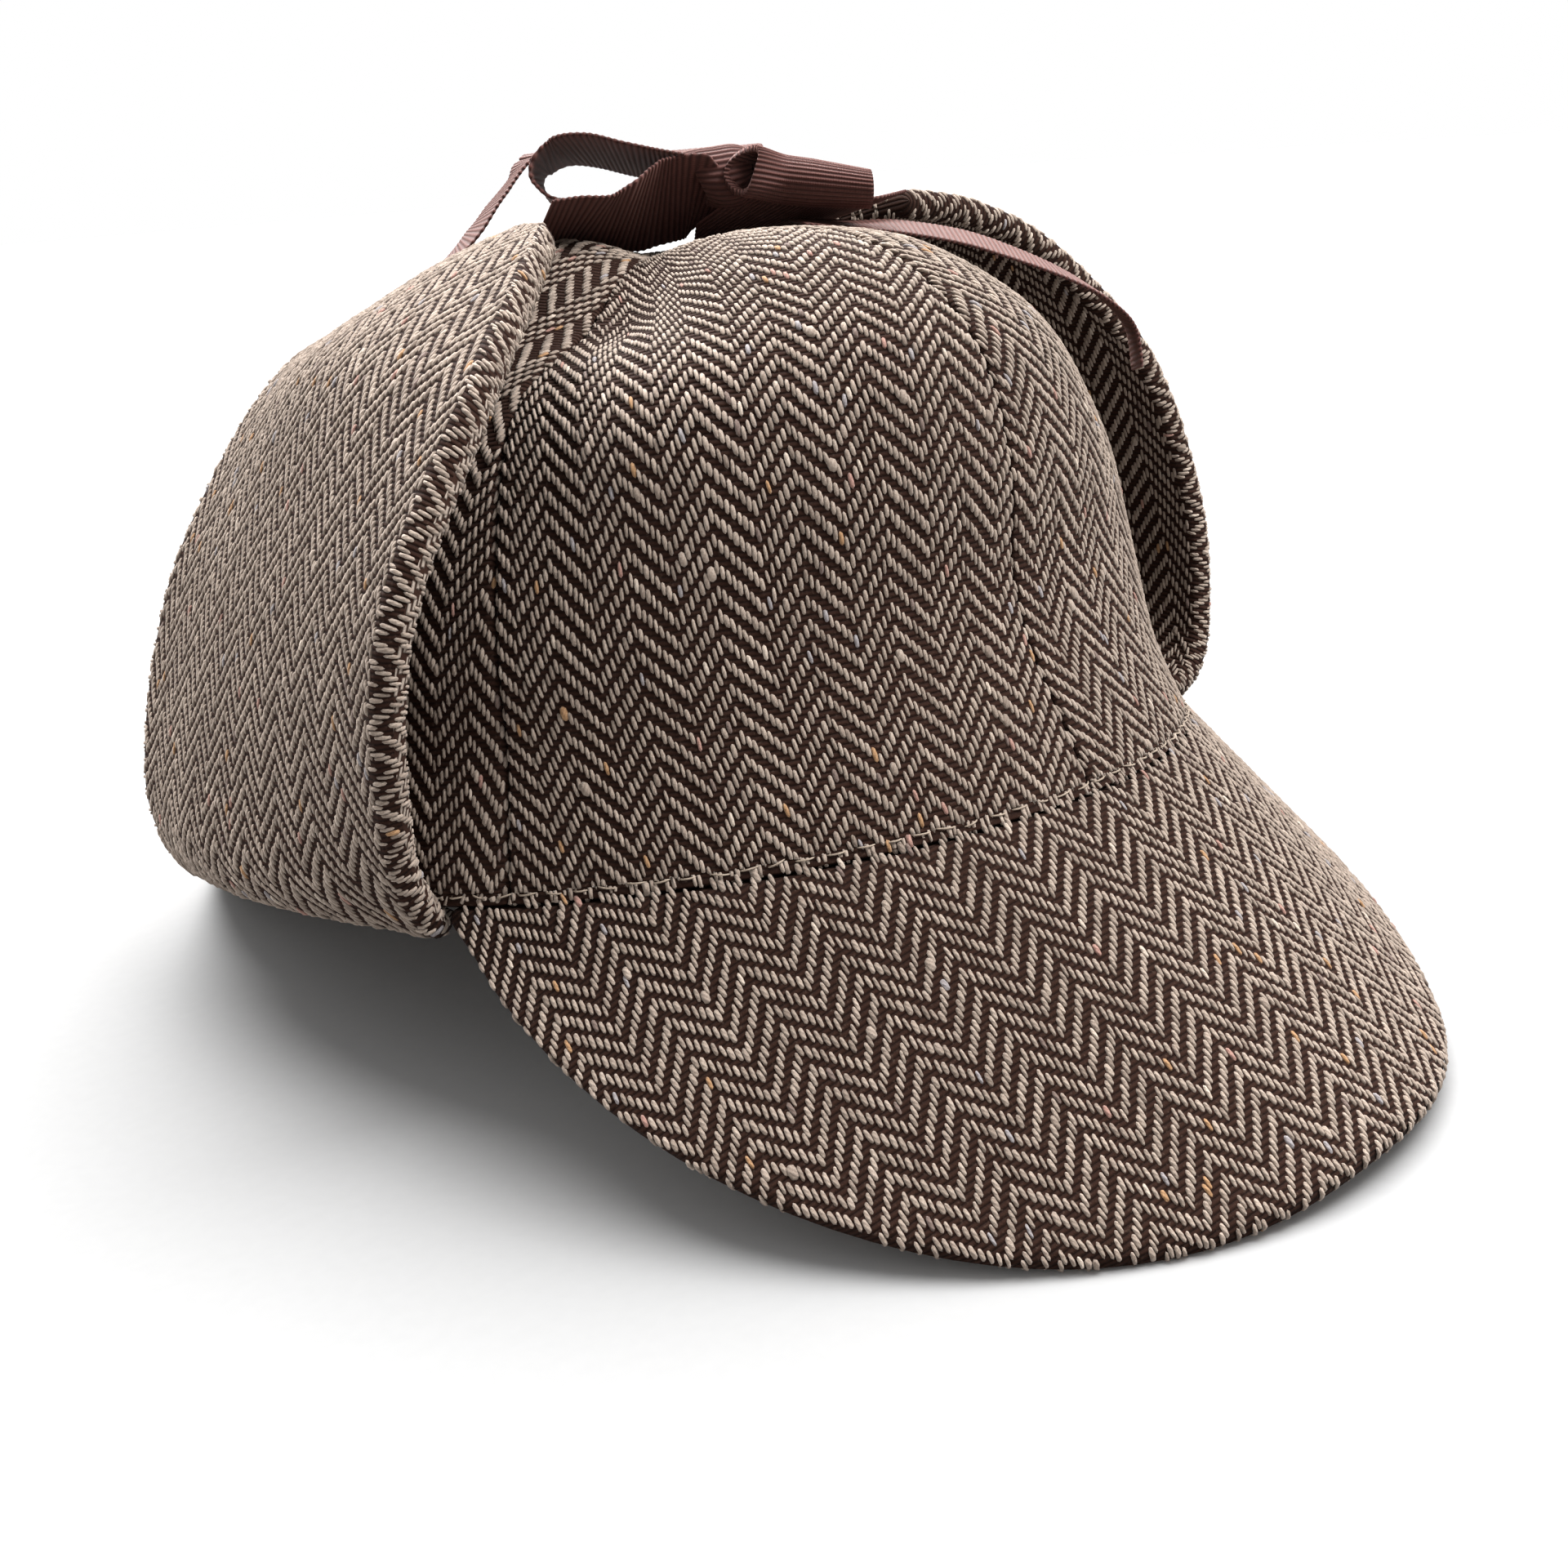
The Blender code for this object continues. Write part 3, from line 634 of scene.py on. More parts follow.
PEAK_HALF = 1.3
PEAK_DROP = 1.7
PEAK_RIM = 0.962      # the ledge inside the crown, as a share of the opening
PEAK_LEDGE = 3.5      # and as a length of cloth
PEAK_STEPS = 28
PEAK_FINE = 120
PEAK_ANGLES = (-65.6, -57.0, -45.0, -30.0, -15.0, 0.0, 15.0, 30.0, 45.0, 57.0, 65.6)
FRONT_PEAK = (  # at each angle: the length, the droop below the opening and the swing outward
    (2.0, 16.5, 36.4, 55.8, 64.4, 65.2, 67.2, 61.3, 44.1, 22.1, 2.0),
    (52.0, 53.0, 53.0, 53.0, 50.5, 47.8, 50.5, 52.8, 52.6, 52.0, 52.0),
    (57.0, 48.8, 34.0, 19.1, 9.5, 0.0, 9.5, 19.1, 34.0, 48.8, 57.0),
)
BACK_PEAK = (
    (2.0, 8.0, 18.0, 31.5, 38.5, 40.0, 38.5, 31.5, 18.0, 8.0, 2.0),
    (52.0, 56.0, 54.0, 36.0, 21.0, 16.0, 21.0, 36.0, 54.0, 56.0, 52.0),
    (24.0, 14.0, 4.0, 3.0, 1.5, 0.0, 1.5, 3.0, 4.0, 14.0, 24.0),
)


def beside(a, b, from_a, from_b, turn):
    """The flat point at two distances from a and b, on the left of a to b, or the right."""
    step = b - a
    span = np.linalg.norm(step)
    x = (from_a ** 2 - from_b ** 2 + span ** 2) / (2 * span)
    y = math.sqrt(max(from_a ** 2 - x ** 2, 0))
    e = step / span
    return a + x * e + turn * y * np.array((-e[1], e[0]))


class Peak:
    """A peak of straight ribs, fanned out from the head's edge. The strip between each two
    ribs is laid flat from its distances, which gives the cloth's own s and t."""

    def __init__(self, table, side):
        reach = PEAK_ANGLES[-1] - 0.2
        angle = np.linspace(-reach, reach, PEAK_STEPS + 1)
        weights = np.array((1, 2, 3, 2, 1)) / 9
        coarse = np.stack([
            np.convolve(np.pad(np.interp(angle, PEAK_ANGLES, values), 2, "reflect", reflect_type="odd"),
                        weights, "valid") for values in table], -1)
        coarse[:, 2] *= np.sign(angle)
        length, droop, swing = through(coarse, PEAK_FINE).T
        angle = np.radians(np.linspace(-reach, reach, PEAK_FINE + 1))
        droop, swing = np.radians(droop), np.radians(swing)
        self.rib = np.stack([-np.sin(swing) * np.cos(droop), side * np.cos(swing) * np.cos(droop),
                             -np.sin(droop)], -1)
        self.edge = np.stack([-HALF_WIDTH * np.sin(angle), side * HALF_LENGTH * np.cos(angle),
                              edge_lift(angle if side < 0 else math.pi - angle) - PEAK_DROP], -1)
        self.length = np.maximum(length, 1.5)
        self.half = PEAK_HALF
        self.extra = (math.pi / 2 - 1) * PEAK_HALF
        tip = self.edge + self.rib * self.length[:, None]
        up = np.stack([unit(np.cross(np.gradient(line, axis=0), self.rib)) for line in (self.edge, tip)])
        self.up = up * np.sign(up[..., 2:])
        mid = PEAK_FINE // 2
        flat_edge, flat_tip = np.zeros((PEAK_FINE + 1, 2)), np.zeros((PEAK_FINE + 1, 2))
        flat_tip[mid] = (0, self.length[mid])
        for way, last in ((1, PEAK_FINE), (-1, 0)):
            for i in range(mid, last, way):
                j = i + way
                flat_edge[j] = beside(flat_edge[i], flat_tip[i], math.dist(self.edge[i], self.edge[j]),
                                      math.dist(tip[i], self.edge[j]), -way)
                flat_tip[j] = beside(flat_edge[j], flat_tip[i], self.length[j],
                                     math.dist(tip[i], tip[j]), -way)
        self.flat = flat_edge
        self.ray = unit(flat_tip - flat_edge)

    def offsets(self, s, t, rib):
        """How far places lie beyond a rib, square to it, and along it."""
        x, y = s - self.flat[rib, 0], t - self.flat[rib, 1]
        ray = self.ray[rib]
        return ray[..., 1] * x - ray[..., 0] * y, ray[..., 0] * x + ray[..., 1] * y

    def near(self, s, t):
        """The rib before each place."""
        off, _ = self.offsets(s[:, None], t[:, None], np.arange(PEAK_FINE + 1)[None])
        return np.clip((off > 0).sum(1) - 1, 0, PEAK_FINE - 1)

    def locate(self, s, t, near):
        """Each place's fractional rib and its distance along that rib."""
        a, run_a = self.offsets(s, t, near)
        b, run_b = self.offsets(s, t, near + 1)
        share = a / np.where(np.abs(a - b) < 1e-6, 1e-6, a - b)
        return near + share, run_a + (run_b - run_a) * share

    def on_rib(self, u, run, side):
        """The surface at a fractional rib and a distance of cloth along it."""
        rib = np.clip(u.astype(int), 0, PEAK_FINE - 1)
        f = np.clip(u - rib, -0.5, 1.5)
        long = blend(self.length, rib, f)
        inset, deep = turned(long + self.extra - run, self.half)
        f = f[..., None]
        v = np.clip((long - inset) / long, 0, 1)[..., None]
        up = unit(blend(self.up[0], rib, f) * (1 - v) + blend(self.up[1], rib, f) * v)
        return (blend(self.edge, rib, f) + blend(self.rib, rib, f) * (long - inset)[..., None]
                + up * (side * self.half * deep)[..., None])

    def point(self, s, t, side, near):
        return self.on_rib(*self.locate(s, t, near), side)

    def holds(self, s, t, near, margin):
        u, run = self.locate(s, t, near)
        inside = (u > 0.4) & (u < PEAK_FINE - 0.4)
        long = np.interp(u, np.arange(PEAK_FINE + 1), self.length)
        return inside & (run > -1.2) & (run < long + self.extra - margin)

    def inner(self, s, t):
        """Which places lie more than 2 mm inside the free edge."""
        u, run = self.locate(s, t, self.near(s, t))
        return run < np.interp(u, np.arange(PEAK_FINE + 1), self.length) - 2

    def span(self):
        tips = self.flat + self.ray * self.length[:, None]
        return np.abs(tips[:, 0]).max() + 2, min(self.flat[:, 1].min(), 0) - 2, tips[:, 1].max() + 2


def peak_cloth(name, peak, rows=26, step=2):
    """The ground cloth of a peak: a short ledge inside the crown, the top face, the turned
    edge and the underside."""
    ribs = np.arange(0, PEAK_FINE + 1, step)
    u = np.repeat(ribs[None, :].astype(float), rows + 1, 0)
    share = np.linspace(0, 1, rows + 1) ** 0.8
    run = share[:, None] * (peak.length[ribs] + peak.extra)[None, :]
    grids = []
    for side in (1.0, -1.0):
        face = peak.on_rib(u, run, side)
        ledge = face[:1] - peak.edge[ribs] * (1 - PEAK_RIM) * (1, 1, 0)
        grids.append(np.concatenate([ledge, face]))
    run = np.concatenate([run[:1] - PEAK_LEDGE, run])
    places = peak.flat[ribs][None] + peak.ray[ribs][None] * run[..., None]
    rows, columns = grids[0].shape[:2]
    index = np.arange(rows * columns).reshape(rows, columns)
    other = index + rows * columns
    other[-1] = index[-1]
    points = np.concatenate([g.reshape(-1, 3) for g in grids])
    top = quads_of(index)
    low = np.roll(quads_of(other)[:, ::-1], 1, 1)
    sides = [np.stack([a[:-1], b[:-1], b[1:], a[1:]], -1) for a, b in (
        (other[0], index[0]), (index[:, 0], other[:, 0]), (other[:, -1], index[:, -1]))]
    rims = np.concatenate(sides)
    rims = rims[[len(set(f.tolist())) == 4 for f in rims]]
    ends = [(index[-2, 0], other[-2, 0], index[-1, 0]), (index[-2, -1], index[-1, -1], other[-2, -1])]
    faces = np.concatenate([top, low, rims])
    tris = np.array(ends)
    if corner_normals(points, top)[:, 2].sum() < 0:
        faces, tris = faces[:, ::-1], tris[:, ::-1]
    flat = places.reshape(-1, 2)
    x, y = flat.T
    y = (y - y.min()) / (y.max() - y.min())
    cell = np.stack([0.5 + 0.49 * x / np.abs(x).max(), 0.01 + 0.48 * y], -1)
    which = np.repeat((0, 1, 0), (len(top), len(low), len(rims) + len(tris))).astype(np.int32)
    # the turned edge belongs to the first half of the map, the underside to the second
    loops = np.concatenate([faces.ravel(), tris.ravel()])
    under = np.repeat(which, [4] * len(faces) + [3] * len(tris))
    weave = np.concatenate([flat, flat])
    bake = np.concatenate([cell, cell])[loops] + under[:, None] * (0, 0.5)
    return build(name, points, faces, [GROUND, DRAWN], which=which, tris=tris,
                 maps={"OFBake": bake, "Weave": weave[loops]})


for name, table, side in (("front_peak", FRONT_PEAK, -1), ("back_peak", BACK_PEAK, 1)):
    peak = Peak(table, side)
    cloth = peak_cloth(name + "_cloth", peak)
    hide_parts(name)
    lays = [(peak, 1.0, 3 if side < 0 else 2, None), (peak, -1.0, 2, peak.inner)]
    warp = lay_floats(name + "_warp", lays, 200 + side)


# Ear flaps: doubled tweed with soft rounded edges, folded up from the crown's lower edge
# and tied over the top.

FLAP_HALF = 2.0
FLAP_BEAD = 0.3       # the turned edge is fatter than the flap
EDGE_REACH = 3.9      # how far the cloth of the turned edge goes on to each face
FLAP_RIGHT = (  # rows from the seam to the tip: front edge, middle and back edge
    ((-75.6, -39.5, -1.7), (-82.2, 0.0, 0.9), (-75.6, 39.5, 1.8)),
    ((-78.4, -41.0, -2.6), (-85.2, 0.0, 0.4), (-79.4, 40.8, 1.4)),
    ((-83.0, -44.0, 4.9), (-87.1, 3.0, 6.5), (-79.1, 50.0, 8.2)),
    ((-86.8, -50.0, 14.7), (-84.7, 3.0, 16.6), (-76.1, 56.0, 18.5)),
    ((-88.7, -58.0, 33.1), (-79.3, 1.0, 35.0), (-68.0, 60.0, 36.9)),
    ((-84.7, -63.0, 49.7), (-71.9, -3.5, 53.6), (-58.1, 56.0, 57.4)),
    ((-67.6, -62.0, 70.7), (-57.6, -9.0, 79.3), (-39.7, 44.0, 81.9)),
    ((-46.0, -48.0, 86.5), (-37.5, -7.0, 92.0), (-25.2, 21.2, 89.6)),
    ((-28.0, -31.0, 95.4), (-20.5, -14.0, 98.0), (-13.0, 4.0, 96.0)),
)
FLAP_LEFT = (
    ((75.6, -39.5, -1.7), (82.2, 0.0, 1.1), (75.6, 39.5, 2.7)),
    ((84.0, -42.0, -8.0), (88.0, 0.0, -3.0), (80.0, 42.0, 0.0)),
    ((94.0, -44.0, -9.5), (94.0, 0.0, -1.0), (82.0, 44.5, 3.5)),
    ((105.0, -45.0, -5.0), (99.0, 0.0, 6.0), (82.0, 47.0, 10.0)),
    ((110.5, -45.0, 7.0), (101.0, 1.0, 17.0), (80.0, 50.0, 20.0)),
    ((112.0, -45.0, 29.5), (100.0, 2.0, 38.0), (75.0, 53.0, 38.0)),
    ((104.0, -43.5, 59.0), (91.0, 0.0, 63.5), (64.0, 50.0, 61.5)),
    ((89.0, -36.0, 81.5), (80.0, -3.0, 84.0), (54.0, 38.0, 80.5)),
    ((74.0, -31.0, 91.8), (66.0, -9.0, 92.6), (51.0, 16.0, 89.0)),
    ((58.0, -27.0, 96.0), (54.0, -20.0, 95.5), (48.0, -10.0, 94.0)),
)


def flap_panel(table, outward):
    """A bent sheet: a smooth curve up through the rows, and a parabola across each row."""
    rows = through(table, 80)
    u = np.linspace(-1, 1, 41)
    weights = np.stack([u * (u - 1) / 2, 1 - u * u, u * (u + 1) / 2], -1)
    return Panel(np.einsum("uk,rkc->ruc", weights, rows), FLAP_HALF, outward, FLAP_BEAD)


class Edge(Panel):
    """A flap's turned edge as a strip of its own, because its cloth lies across the flap's: s
    runs along the edge, and t from the inner face round to the outer one."""

    def __init__(self, panel, end):
        self.panel = panel
        self.end = end
        self.up = np.linspace(1.0, panel.along[-1] - 1.0, 241)
        border = panel.point(self.place(self.up, 0), self.up, 1.0)
        self.run = run_along(border)

    def place(self, up, t):
        return self.end * (self.panel.reach(up) - np.abs(t))

    def holds(self, s, t, near, margin):
        return (np.abs(s) < self.run[-1] / 2 - margin) & (np.abs(t) < EDGE_REACH)

    def point(self, s, t, side, near=None):
        up = np.interp(s + self.run[-1] / 2, self.run, self.up)
        face = np.where(t > 0, 1.0, -1.0) * max(side, 0)
        return self.panel.point(self.place(up, t), up, face)

    def span(self):
        return self.run[-1] / 2, -EDGE_REACH, EDGE_REACH


def flap_lays(panel, outer_rings, inner_rings, inner_depth):
    """The floats of a flap's two faces and of its two turned edges. The inner face has them
    only inner_depth mm deep, past which it's hidden."""
    def depth(s, t):
        return panel.reach(t) - np.abs(s)

    def bare_outside(s, t):
        return depth(s, t) < EDGE_REACH - 0.3

    def bare_inside(s, t):
        return bare_outside(s, t) | (depth(s, t) > inner_depth)

    return [(panel, 1.0, outer_rings, bare_outside), (panel, -1.0, inner_rings, bare_inside),
            (Edge(panel, -1), 1.0, 3, None), (Edge(panel, 1), 1.0, 3, None)]


for name, table, outward, rings, inner_depth, inner, cut, area, crown_side in (
        ("ear_flap_right", FLAP_RIGHT, 1, (3, 2), 9.0, DRAWN, (0.125, 0.140), 0.0144, "side_right"),
        ("ear_flap_left", FLAP_LEFT, -1, (2, 3), 99.0, GROUND, (0.107, 0.140), 0.0128, "side_left")):
    panel = flap_panel(table, outward)
    cloth = cloth_piece(name + "_cloth", panel, 48, 40, inner)
    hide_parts(name)
    warp = lay_floats(name + "_warp", flap_lays(panel, *rings, inner_depth), 300 + outward)


# Ribbon: 22 mm of maroon grosgrain, whose ribs run across it and end in small loops at
# both selvages. One length comes from each flap's tip, and the two are tied in a bow.

RIBBON_WIDE = 22.0
RIBBON_HALF = 0.34
RIBBON_SECTION = (    # place across, and share of the thickness
    (-1, 0), (-0.985, 0.75), (-0.94, 1), (-0.8, 1), (-0.5, 1), (0, 1),
    (0.5, 1), (0.8, 1), (0.94, 1), (0.985, 0.75), (1, 0),
)
GATHERS = 7           # a gathered end opens over a seventh of the length
RIB = 1.0             # from one rib to the next
WARP_END = 0.36       # from one of the fine ends that cross the ribs to the next
LOOP_OUT = 0.11       # how far the selvage bulges at a rib
# painted shade in the ribs' grooves, and a painted highlight on their crests
MAROON_GROOVE_SHADE = (0.024, 0.0085, 0.0075, 1)
MAROON_LIT = (0.125, 0.047, 0.038, 1)
BOW_LOOP_RIGHT = (    # each row: a point on the middle line and the direction of the width
    (9.5, -22.8, 105.0, -0.63, -0.76, 0.14),
    (6.0, -19.2, 106.8, -0.63, -0.76, 0.14),
    (2.2, -15.6, 108.8, -0.63, -0.76, 0.14),
    (-1.8, -11.2, 111.2, -0.63, -0.76, 0.14),
    (-5.6, -7.0, 112.0, -0.64, -0.76, 0.10),
    (-8.4, -4.8, 110.4, -0.65, -0.76, 0.06),
    (-9.2, -3.8, 107.8, -0.65, -0.76, 0.02),
    (-8.0, -4.4, 105.0, -0.65, -0.76, 0.00),
    (-5.4, -6.0, 103.2, -0.65, -0.76, 0.00),
    (-2.0, -8.4, 102.2, -0.65, -0.76, 0.00),
    (2.0, -11.0, 102.0, -0.65, -0.76, 0.00),
    (8.0, -10.8, 103.4, -0.65, -0.76, 0.00),
)
RIBBON_TIE_RIGHT = (
    (-18.2, -14.1, 98.7, -0.60, -0.72, 0.25),
    (-12.8, -16.0, 98.9, -0.60, -0.72, 0.25),
    (-7.7, -17.6, 98.6, -0.60, -0.72, 0.27),
    (-3.8, -18.9, 98.9, -0.58, -0.70, 0.34),
    (0.3, -19.7, 99.7, -0.54, -0.66, 0.44),
    (4.0, -20.7, 100.4, -0.50, -0.64, 0.52),
    (9.0, -23.2, 100.6, -0.50, -0.64, 0.52),
    (13.7, -25.4, 99.4, -0.52, -0.66, 0.44),
)
RIBBON_TIE_LEFT = (
    (11.0, -25.5, 97.6, -0.35, -0.85, 0.40),
    (18.0, -24.5, 96.0, -0.32, -0.90, 0.32),
    (28.0, -23.4, 94.6, 0.00, -0.98, 0.16),
    (40.0, -23.8, 94.8, 0.20, -0.96, 0.14),
    (51.4, -19.6, 96.2, 0.46, -0.88, 0.14),
)
RIBBON_TAIL_LEFT = (
    (24.0, -31.5, 93.9, -0.68, -0.72, -0.10),
    (33.0, -37.0, 91.6, -0.73, -0.65, -0.12),
    (39.0, -41.6, 90.2, -0.73, -0.65, -0.14),
    (47.0, -48.4, 86.8, -0.73, -0.65, -0.15),
    (53.4, -53.8, 82.8, -0.73, -0.65, -0.14),
    (60.6, -60.0, 77.2, -0.73, -0.65, -0.10),
    (65.6, -64.0, 72.0, -0.72, -0.66, -0.05),
    (68.8, -66.6, 66.0, -0.72, -0.66, 0.00),
    (68.8, -67.0, 58.5, -0.72, -0.66, 0.00),
)
RIBBON_TAIL_RIGHT = (
    (17.8, -22.7, 105.2, -0.85, 0.45, 0.00),
    (21.2, -17.8, 108.6, -0.93, 0.30, 0.00),
    (22.6, -9.0, 109.6, -1.00, 0.00, -0.10),
    (20.0, 0.0, 111.6, -0.90, -0.43, -0.10),
    (15.5, 8.0, 114.0, -0.70, -0.70, -0.10),
    (10.8, 11.9, 114.8, -0.60, -0.78, -0.10),
    (6.0, 12.4, 114.8, -0.60, -0.78, -0.12),
    (1.0, 13.4, 113.3, -0.60, -0.78, -0.15),
    (-5.0, 15.7, 108.0, -0.58, -0.80, -0.20),
    (-9.3, 17.7, 103.4, -0.58, -0.78, -0.25),
    (-12.7, 20.2, 99.8, -0.58, -0.78, -0.22),
    (-15.5, 23.0, 97.0, -0.58, -0.78, -0.20),
)
KNOT_GATHER = 0.4     # share of the ribbon's width where it goes into the knot
KNOT_HALF = (4.9, 6.6, 5.2)
KNOT_TURN = math.radians(-40.0)
KNOT_THINNER = (0.16, 0.42)       # how much thinner its two ends are
KNOT_SAG = 0.7
ROLL_FROM = (17.2, -30.0, 102.3)
ROLL_TO = (32.6, -42.7, 96.9)
ROLL_TALL = (4.1, 3.8, 3.0)
ROLL_DEEP = 7.0
ROLL_PRESSED = 0.30   # share of the roll over which its open end is pressed flat
ROLL_FLAT = 1.8
WRAP_RIBS = 30
KNOT_WALL, ROLL_WALL = 1.4, 0.7
ROLL_FORWARD = 8.2
ROLL_LIP = 5.0


def grosgrain():
    """Ribs from the ribbon's lengthwise coordinate: a painted highlight on the crests over painted
    shade in the grooves, and fine warp ends crossing them."""
    ribbon = Finish("maroon_grosgrain", Roughness=0.75, Specular_IOR_Level=0.25, Sheen_Weight=0.12,
                    Sheen_Roughness=0.4, Sheen_Tint=(0.9, 0.5, 0.4, 1))
    across, along = ribbon.map("Weave")
    crest = ((along * (2 * math.pi / RIB)).math("COSINE")) * 0.5 + 0.5
    ends = ((across * (2 * math.pi / WARP_END)).math("SINE")) * 0.5 + 0.5
    fibre = ribbon.noise(2600.0)
    colour = ribbon.mix(crest * 0.55 + fibre * 0.35, MAROON_GROOVE_SHADE, MAROON_LIT)
    return ribbon.cover(colour, crest * 0.16 + ends * crest * 0.05 + fibre * 0.03)


GROSGRAIN = grosgrain()


def evenly(line, step):
    """Rows of a dense curve at equal distances of about step, as whole ribs, and the distance."""
    run = run_along(line[:, :3])
    count = max(int(round(run[-1] / step)), 8)
    at = np.linspace(0, run[-1], count + 1)
    return np.stack([np.interp(at, run, line[:, k]) for k in range(line.shape[1])], -1), at


def ribbon(name, table, gather):
    """A flat length along the table's middle line, with the shares of its width left at its
    start and end. Thickness swells at each rib, and the selvages bulge there."""
    rows, run = evenly(through(table, 600), RIB / 4)
    line, across = rows[:, :3], unit(rows[:, 3:])
    along = unit(np.gradient(line, axis=0))
    across = unit(across - along * (across * along).sum(-1, keepdims=True))
    u, thick = np.array(RIBBON_SECTION).T
    gather = np.array(gather)[:, None]
    inward = np.minimum(GATHERS * np.stack([run, run[-1] - run]) / run[-1], 1)
    wide = 0.5 * RIBBON_WIDE * (gather + (1 - gather) * inward).min(0)
    crest = 0.5 + 0.5 * np.cos(2 * math.pi * run / RIB)
    wide = wide + 2 * LOOP_OUT * (crest - 0.5)
    grid = line[:, None] + across[:, None] * (wide[:, None] * u)[..., None]
    out = grid_normals(grid)
    deep = (RIBBON_HALF * (0.75 + 0.25 * crest))[:, None] * thick
    deep[[0, -1]] = 0
    weave = np.stack(np.broadcast_arrays(wide[:, None] * u, run[:, None]), -1)
    bake = np.stack(np.broadcast_arrays(0.25 + 0.24 * u, 0.01 + 0.98 * run[:, None] / run[-1]), -1)
    skins = [grid + out * deep[..., None], grid - out * deep[..., None]]
    piece = two_skins(name + "_grosgrain", skins, weave, bake, [GROSGRAIN])
    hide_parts(name)
    return piece, run[-1] * 0.001


RIBBONS = (  # name, route, width left at both ends, hold, what it lies on
    ("bow_loop_right", BOW_LOOP_RIGHT, (1.0, 1.0), "folded", "crown_gore_front_right_cloth"),
    ("ribbon_tie_right", RIBBON_TIE_RIGHT, (1.0, KNOT_GATHER), "laid", "ear_flap_right_cloth"),
    ("ribbon_tie_left", RIBBON_TIE_LEFT, (KNOT_GATHER, 1.0), "laid", "ear_flap_left_cloth"),
    ("ribbon_tail_left", RIBBON_TAIL_LEFT, (1.0, 1.0), "draped", "crown_gore_front_left_cloth"),
    ("ribbon_tail_right", RIBBON_TAIL_RIGHT, (KNOT_GATHER, 1.0), "draped", "ear_flap_right_cloth"),
)
for name, table, gather, held, under in RIBBONS:
    piece, long = ribbon(name, table, gather)


def ribbed_tube(name, centre, axis, side, up, deep, tall, slant, wall, ribs):
    """A wrap of ribbon round an axis: at each station an ellipse with half axes deep and
    tall, swollen at each rib. slant moves the wrap's points along the axis by their place
    across and up the ellipse. The ribs run along the axis. The wall is closed at both ends."""
    turn = np.linspace(0, 2 * math.pi, 4 * ribs + 1)
    crest = 0.5 + 0.5 * np.cos(ribs * turn)
    across, rise = np.cos(turn), np.sin(turn)
    shift = (slant[:, :1] * (1 - across) ** 2 + slant[:, 1:] * rise)[..., None] * axis
    rings = []
    for inset in (0.0, wall):
        grow = 0.24 * crest * (1 if inset == 0 else -1) - inset
        rings.append(centre[:, None] + shift + (across[:, None] * side) * (deep[:, None] + grow)[..., None]
                     + (rise[:, None] * up) * (tall[:, None] + grow)[..., None])
    outer, inner = rings
    grid = np.concatenate([outer, inner[::-1], outer[:1]])
    rows, columns = grid.shape[:2]
    index = np.arange(rows * columns).reshape(rows, columns)
    index[:, -1] = index[:, 0]
    index[-1] = index[0]
    own = quads_of(np.arange(rows * columns).reshape(rows, columns))
    quads = quads_of(index)
    points = grid.reshape(-1, 3)
    outside = quads[:(len(outer) - 1) * (columns - 1)]
    if (corner_normals(points, outside) * (points[outside[:, 0]] - centre[0])).sum() < 0:
        quads, own = quads[:, ::-1], own[:, ::-1]
    run = np.linspace(0, 1, rows)
    round_it = turn / (2 * math.pi)
    bake = np.stack(np.broadcast_arrays(0.01 + 0.98 * run[:, None], 0.01 + 0.98 * round_it), -1)
    weave = np.stack(np.broadcast_arrays(2 * RIBBON_WIDE * run[:, None], RIB * ribs * round_it), -1)
    piece = build(name + "_grosgrain", points, quads, [GROSGRAIN], maps={
        "OFBake": bake.reshape(-1, 2)[own.ravel()], "Weave": weave.reshape(-1, 2)[own.ravel()]})
    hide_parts(name)
    return piece


# the knot: a fat wrap that sags between its ends, slanting where the ribbons go in
u = np.linspace(-1, 1, 21)
axis = np.array((math.cos(KNOT_TURN), math.sin(KNOT_TURN), 0))
side = np.array((math.sin(KNOT_TURN), -math.cos(KNOT_TURN), 0))
fat = 1 - np.where(u < 0, *KNOT_THINNER) * np.abs(u) ** 3
up = np.array((0, 0, 1.0))
knot_line = np.array(KNOT_AT) + u[:, None] * KNOT_HALF[0] * axis + (KNOT_SAG * u ** 2 - 0.5)[:, None] * up
slant = np.stack([0.4 * np.minimum(u, 0), -1.6 * (1 - u) / 2], -1)
ribbed_tube("bow_knot", knot_line, axis, side, up, KNOT_HALF[1] * fat, KNOT_HALF[2] * fat, slant,
            KNOT_WALL, WRAP_RIBS)

# the second loop, seen as a short roll open at both ends: at its start the near side is
# pressed back, so that the far side shows past it as a folded lip
start, end = np.array(ROLL_FROM), np.array(ROLL_TO)
u = np.linspace(0, 1, 31) ** 1.5
pressed = np.clip(1 - u / ROLL_PRESSED, 0, 1) ** 2 * (1 + 2 * np.clip(u / ROLL_PRESSED, 0, 1))
axis = unit(end - start)
side = unit(np.cross(axis, (0, 0, 1)))
roll_line = start + u[:, None] * (end - start) + (ROLL_FORWARD * pressed)[:, None] * side
deep = ROLL_DEEP + (ROLL_FLAT - ROLL_DEEP) * pressed
slant = np.stack([-0.25 * ROLL_LIP * pressed, 0.8 * pressed - 0.5 * u], -1)
ribbed_tube("bow_loop_left", roll_line, axis, side, np.cross(side, axis), deep,
            np.interp(u, (0, 0.5, 1), ROLL_TALL), slant, ROLL_WALL, WRAP_RIBS)


# Stitches: a pale thread runs round the crown just above its lower edge, in and out of the
# cloth, and holds the turned hem to the peaks and flaps.

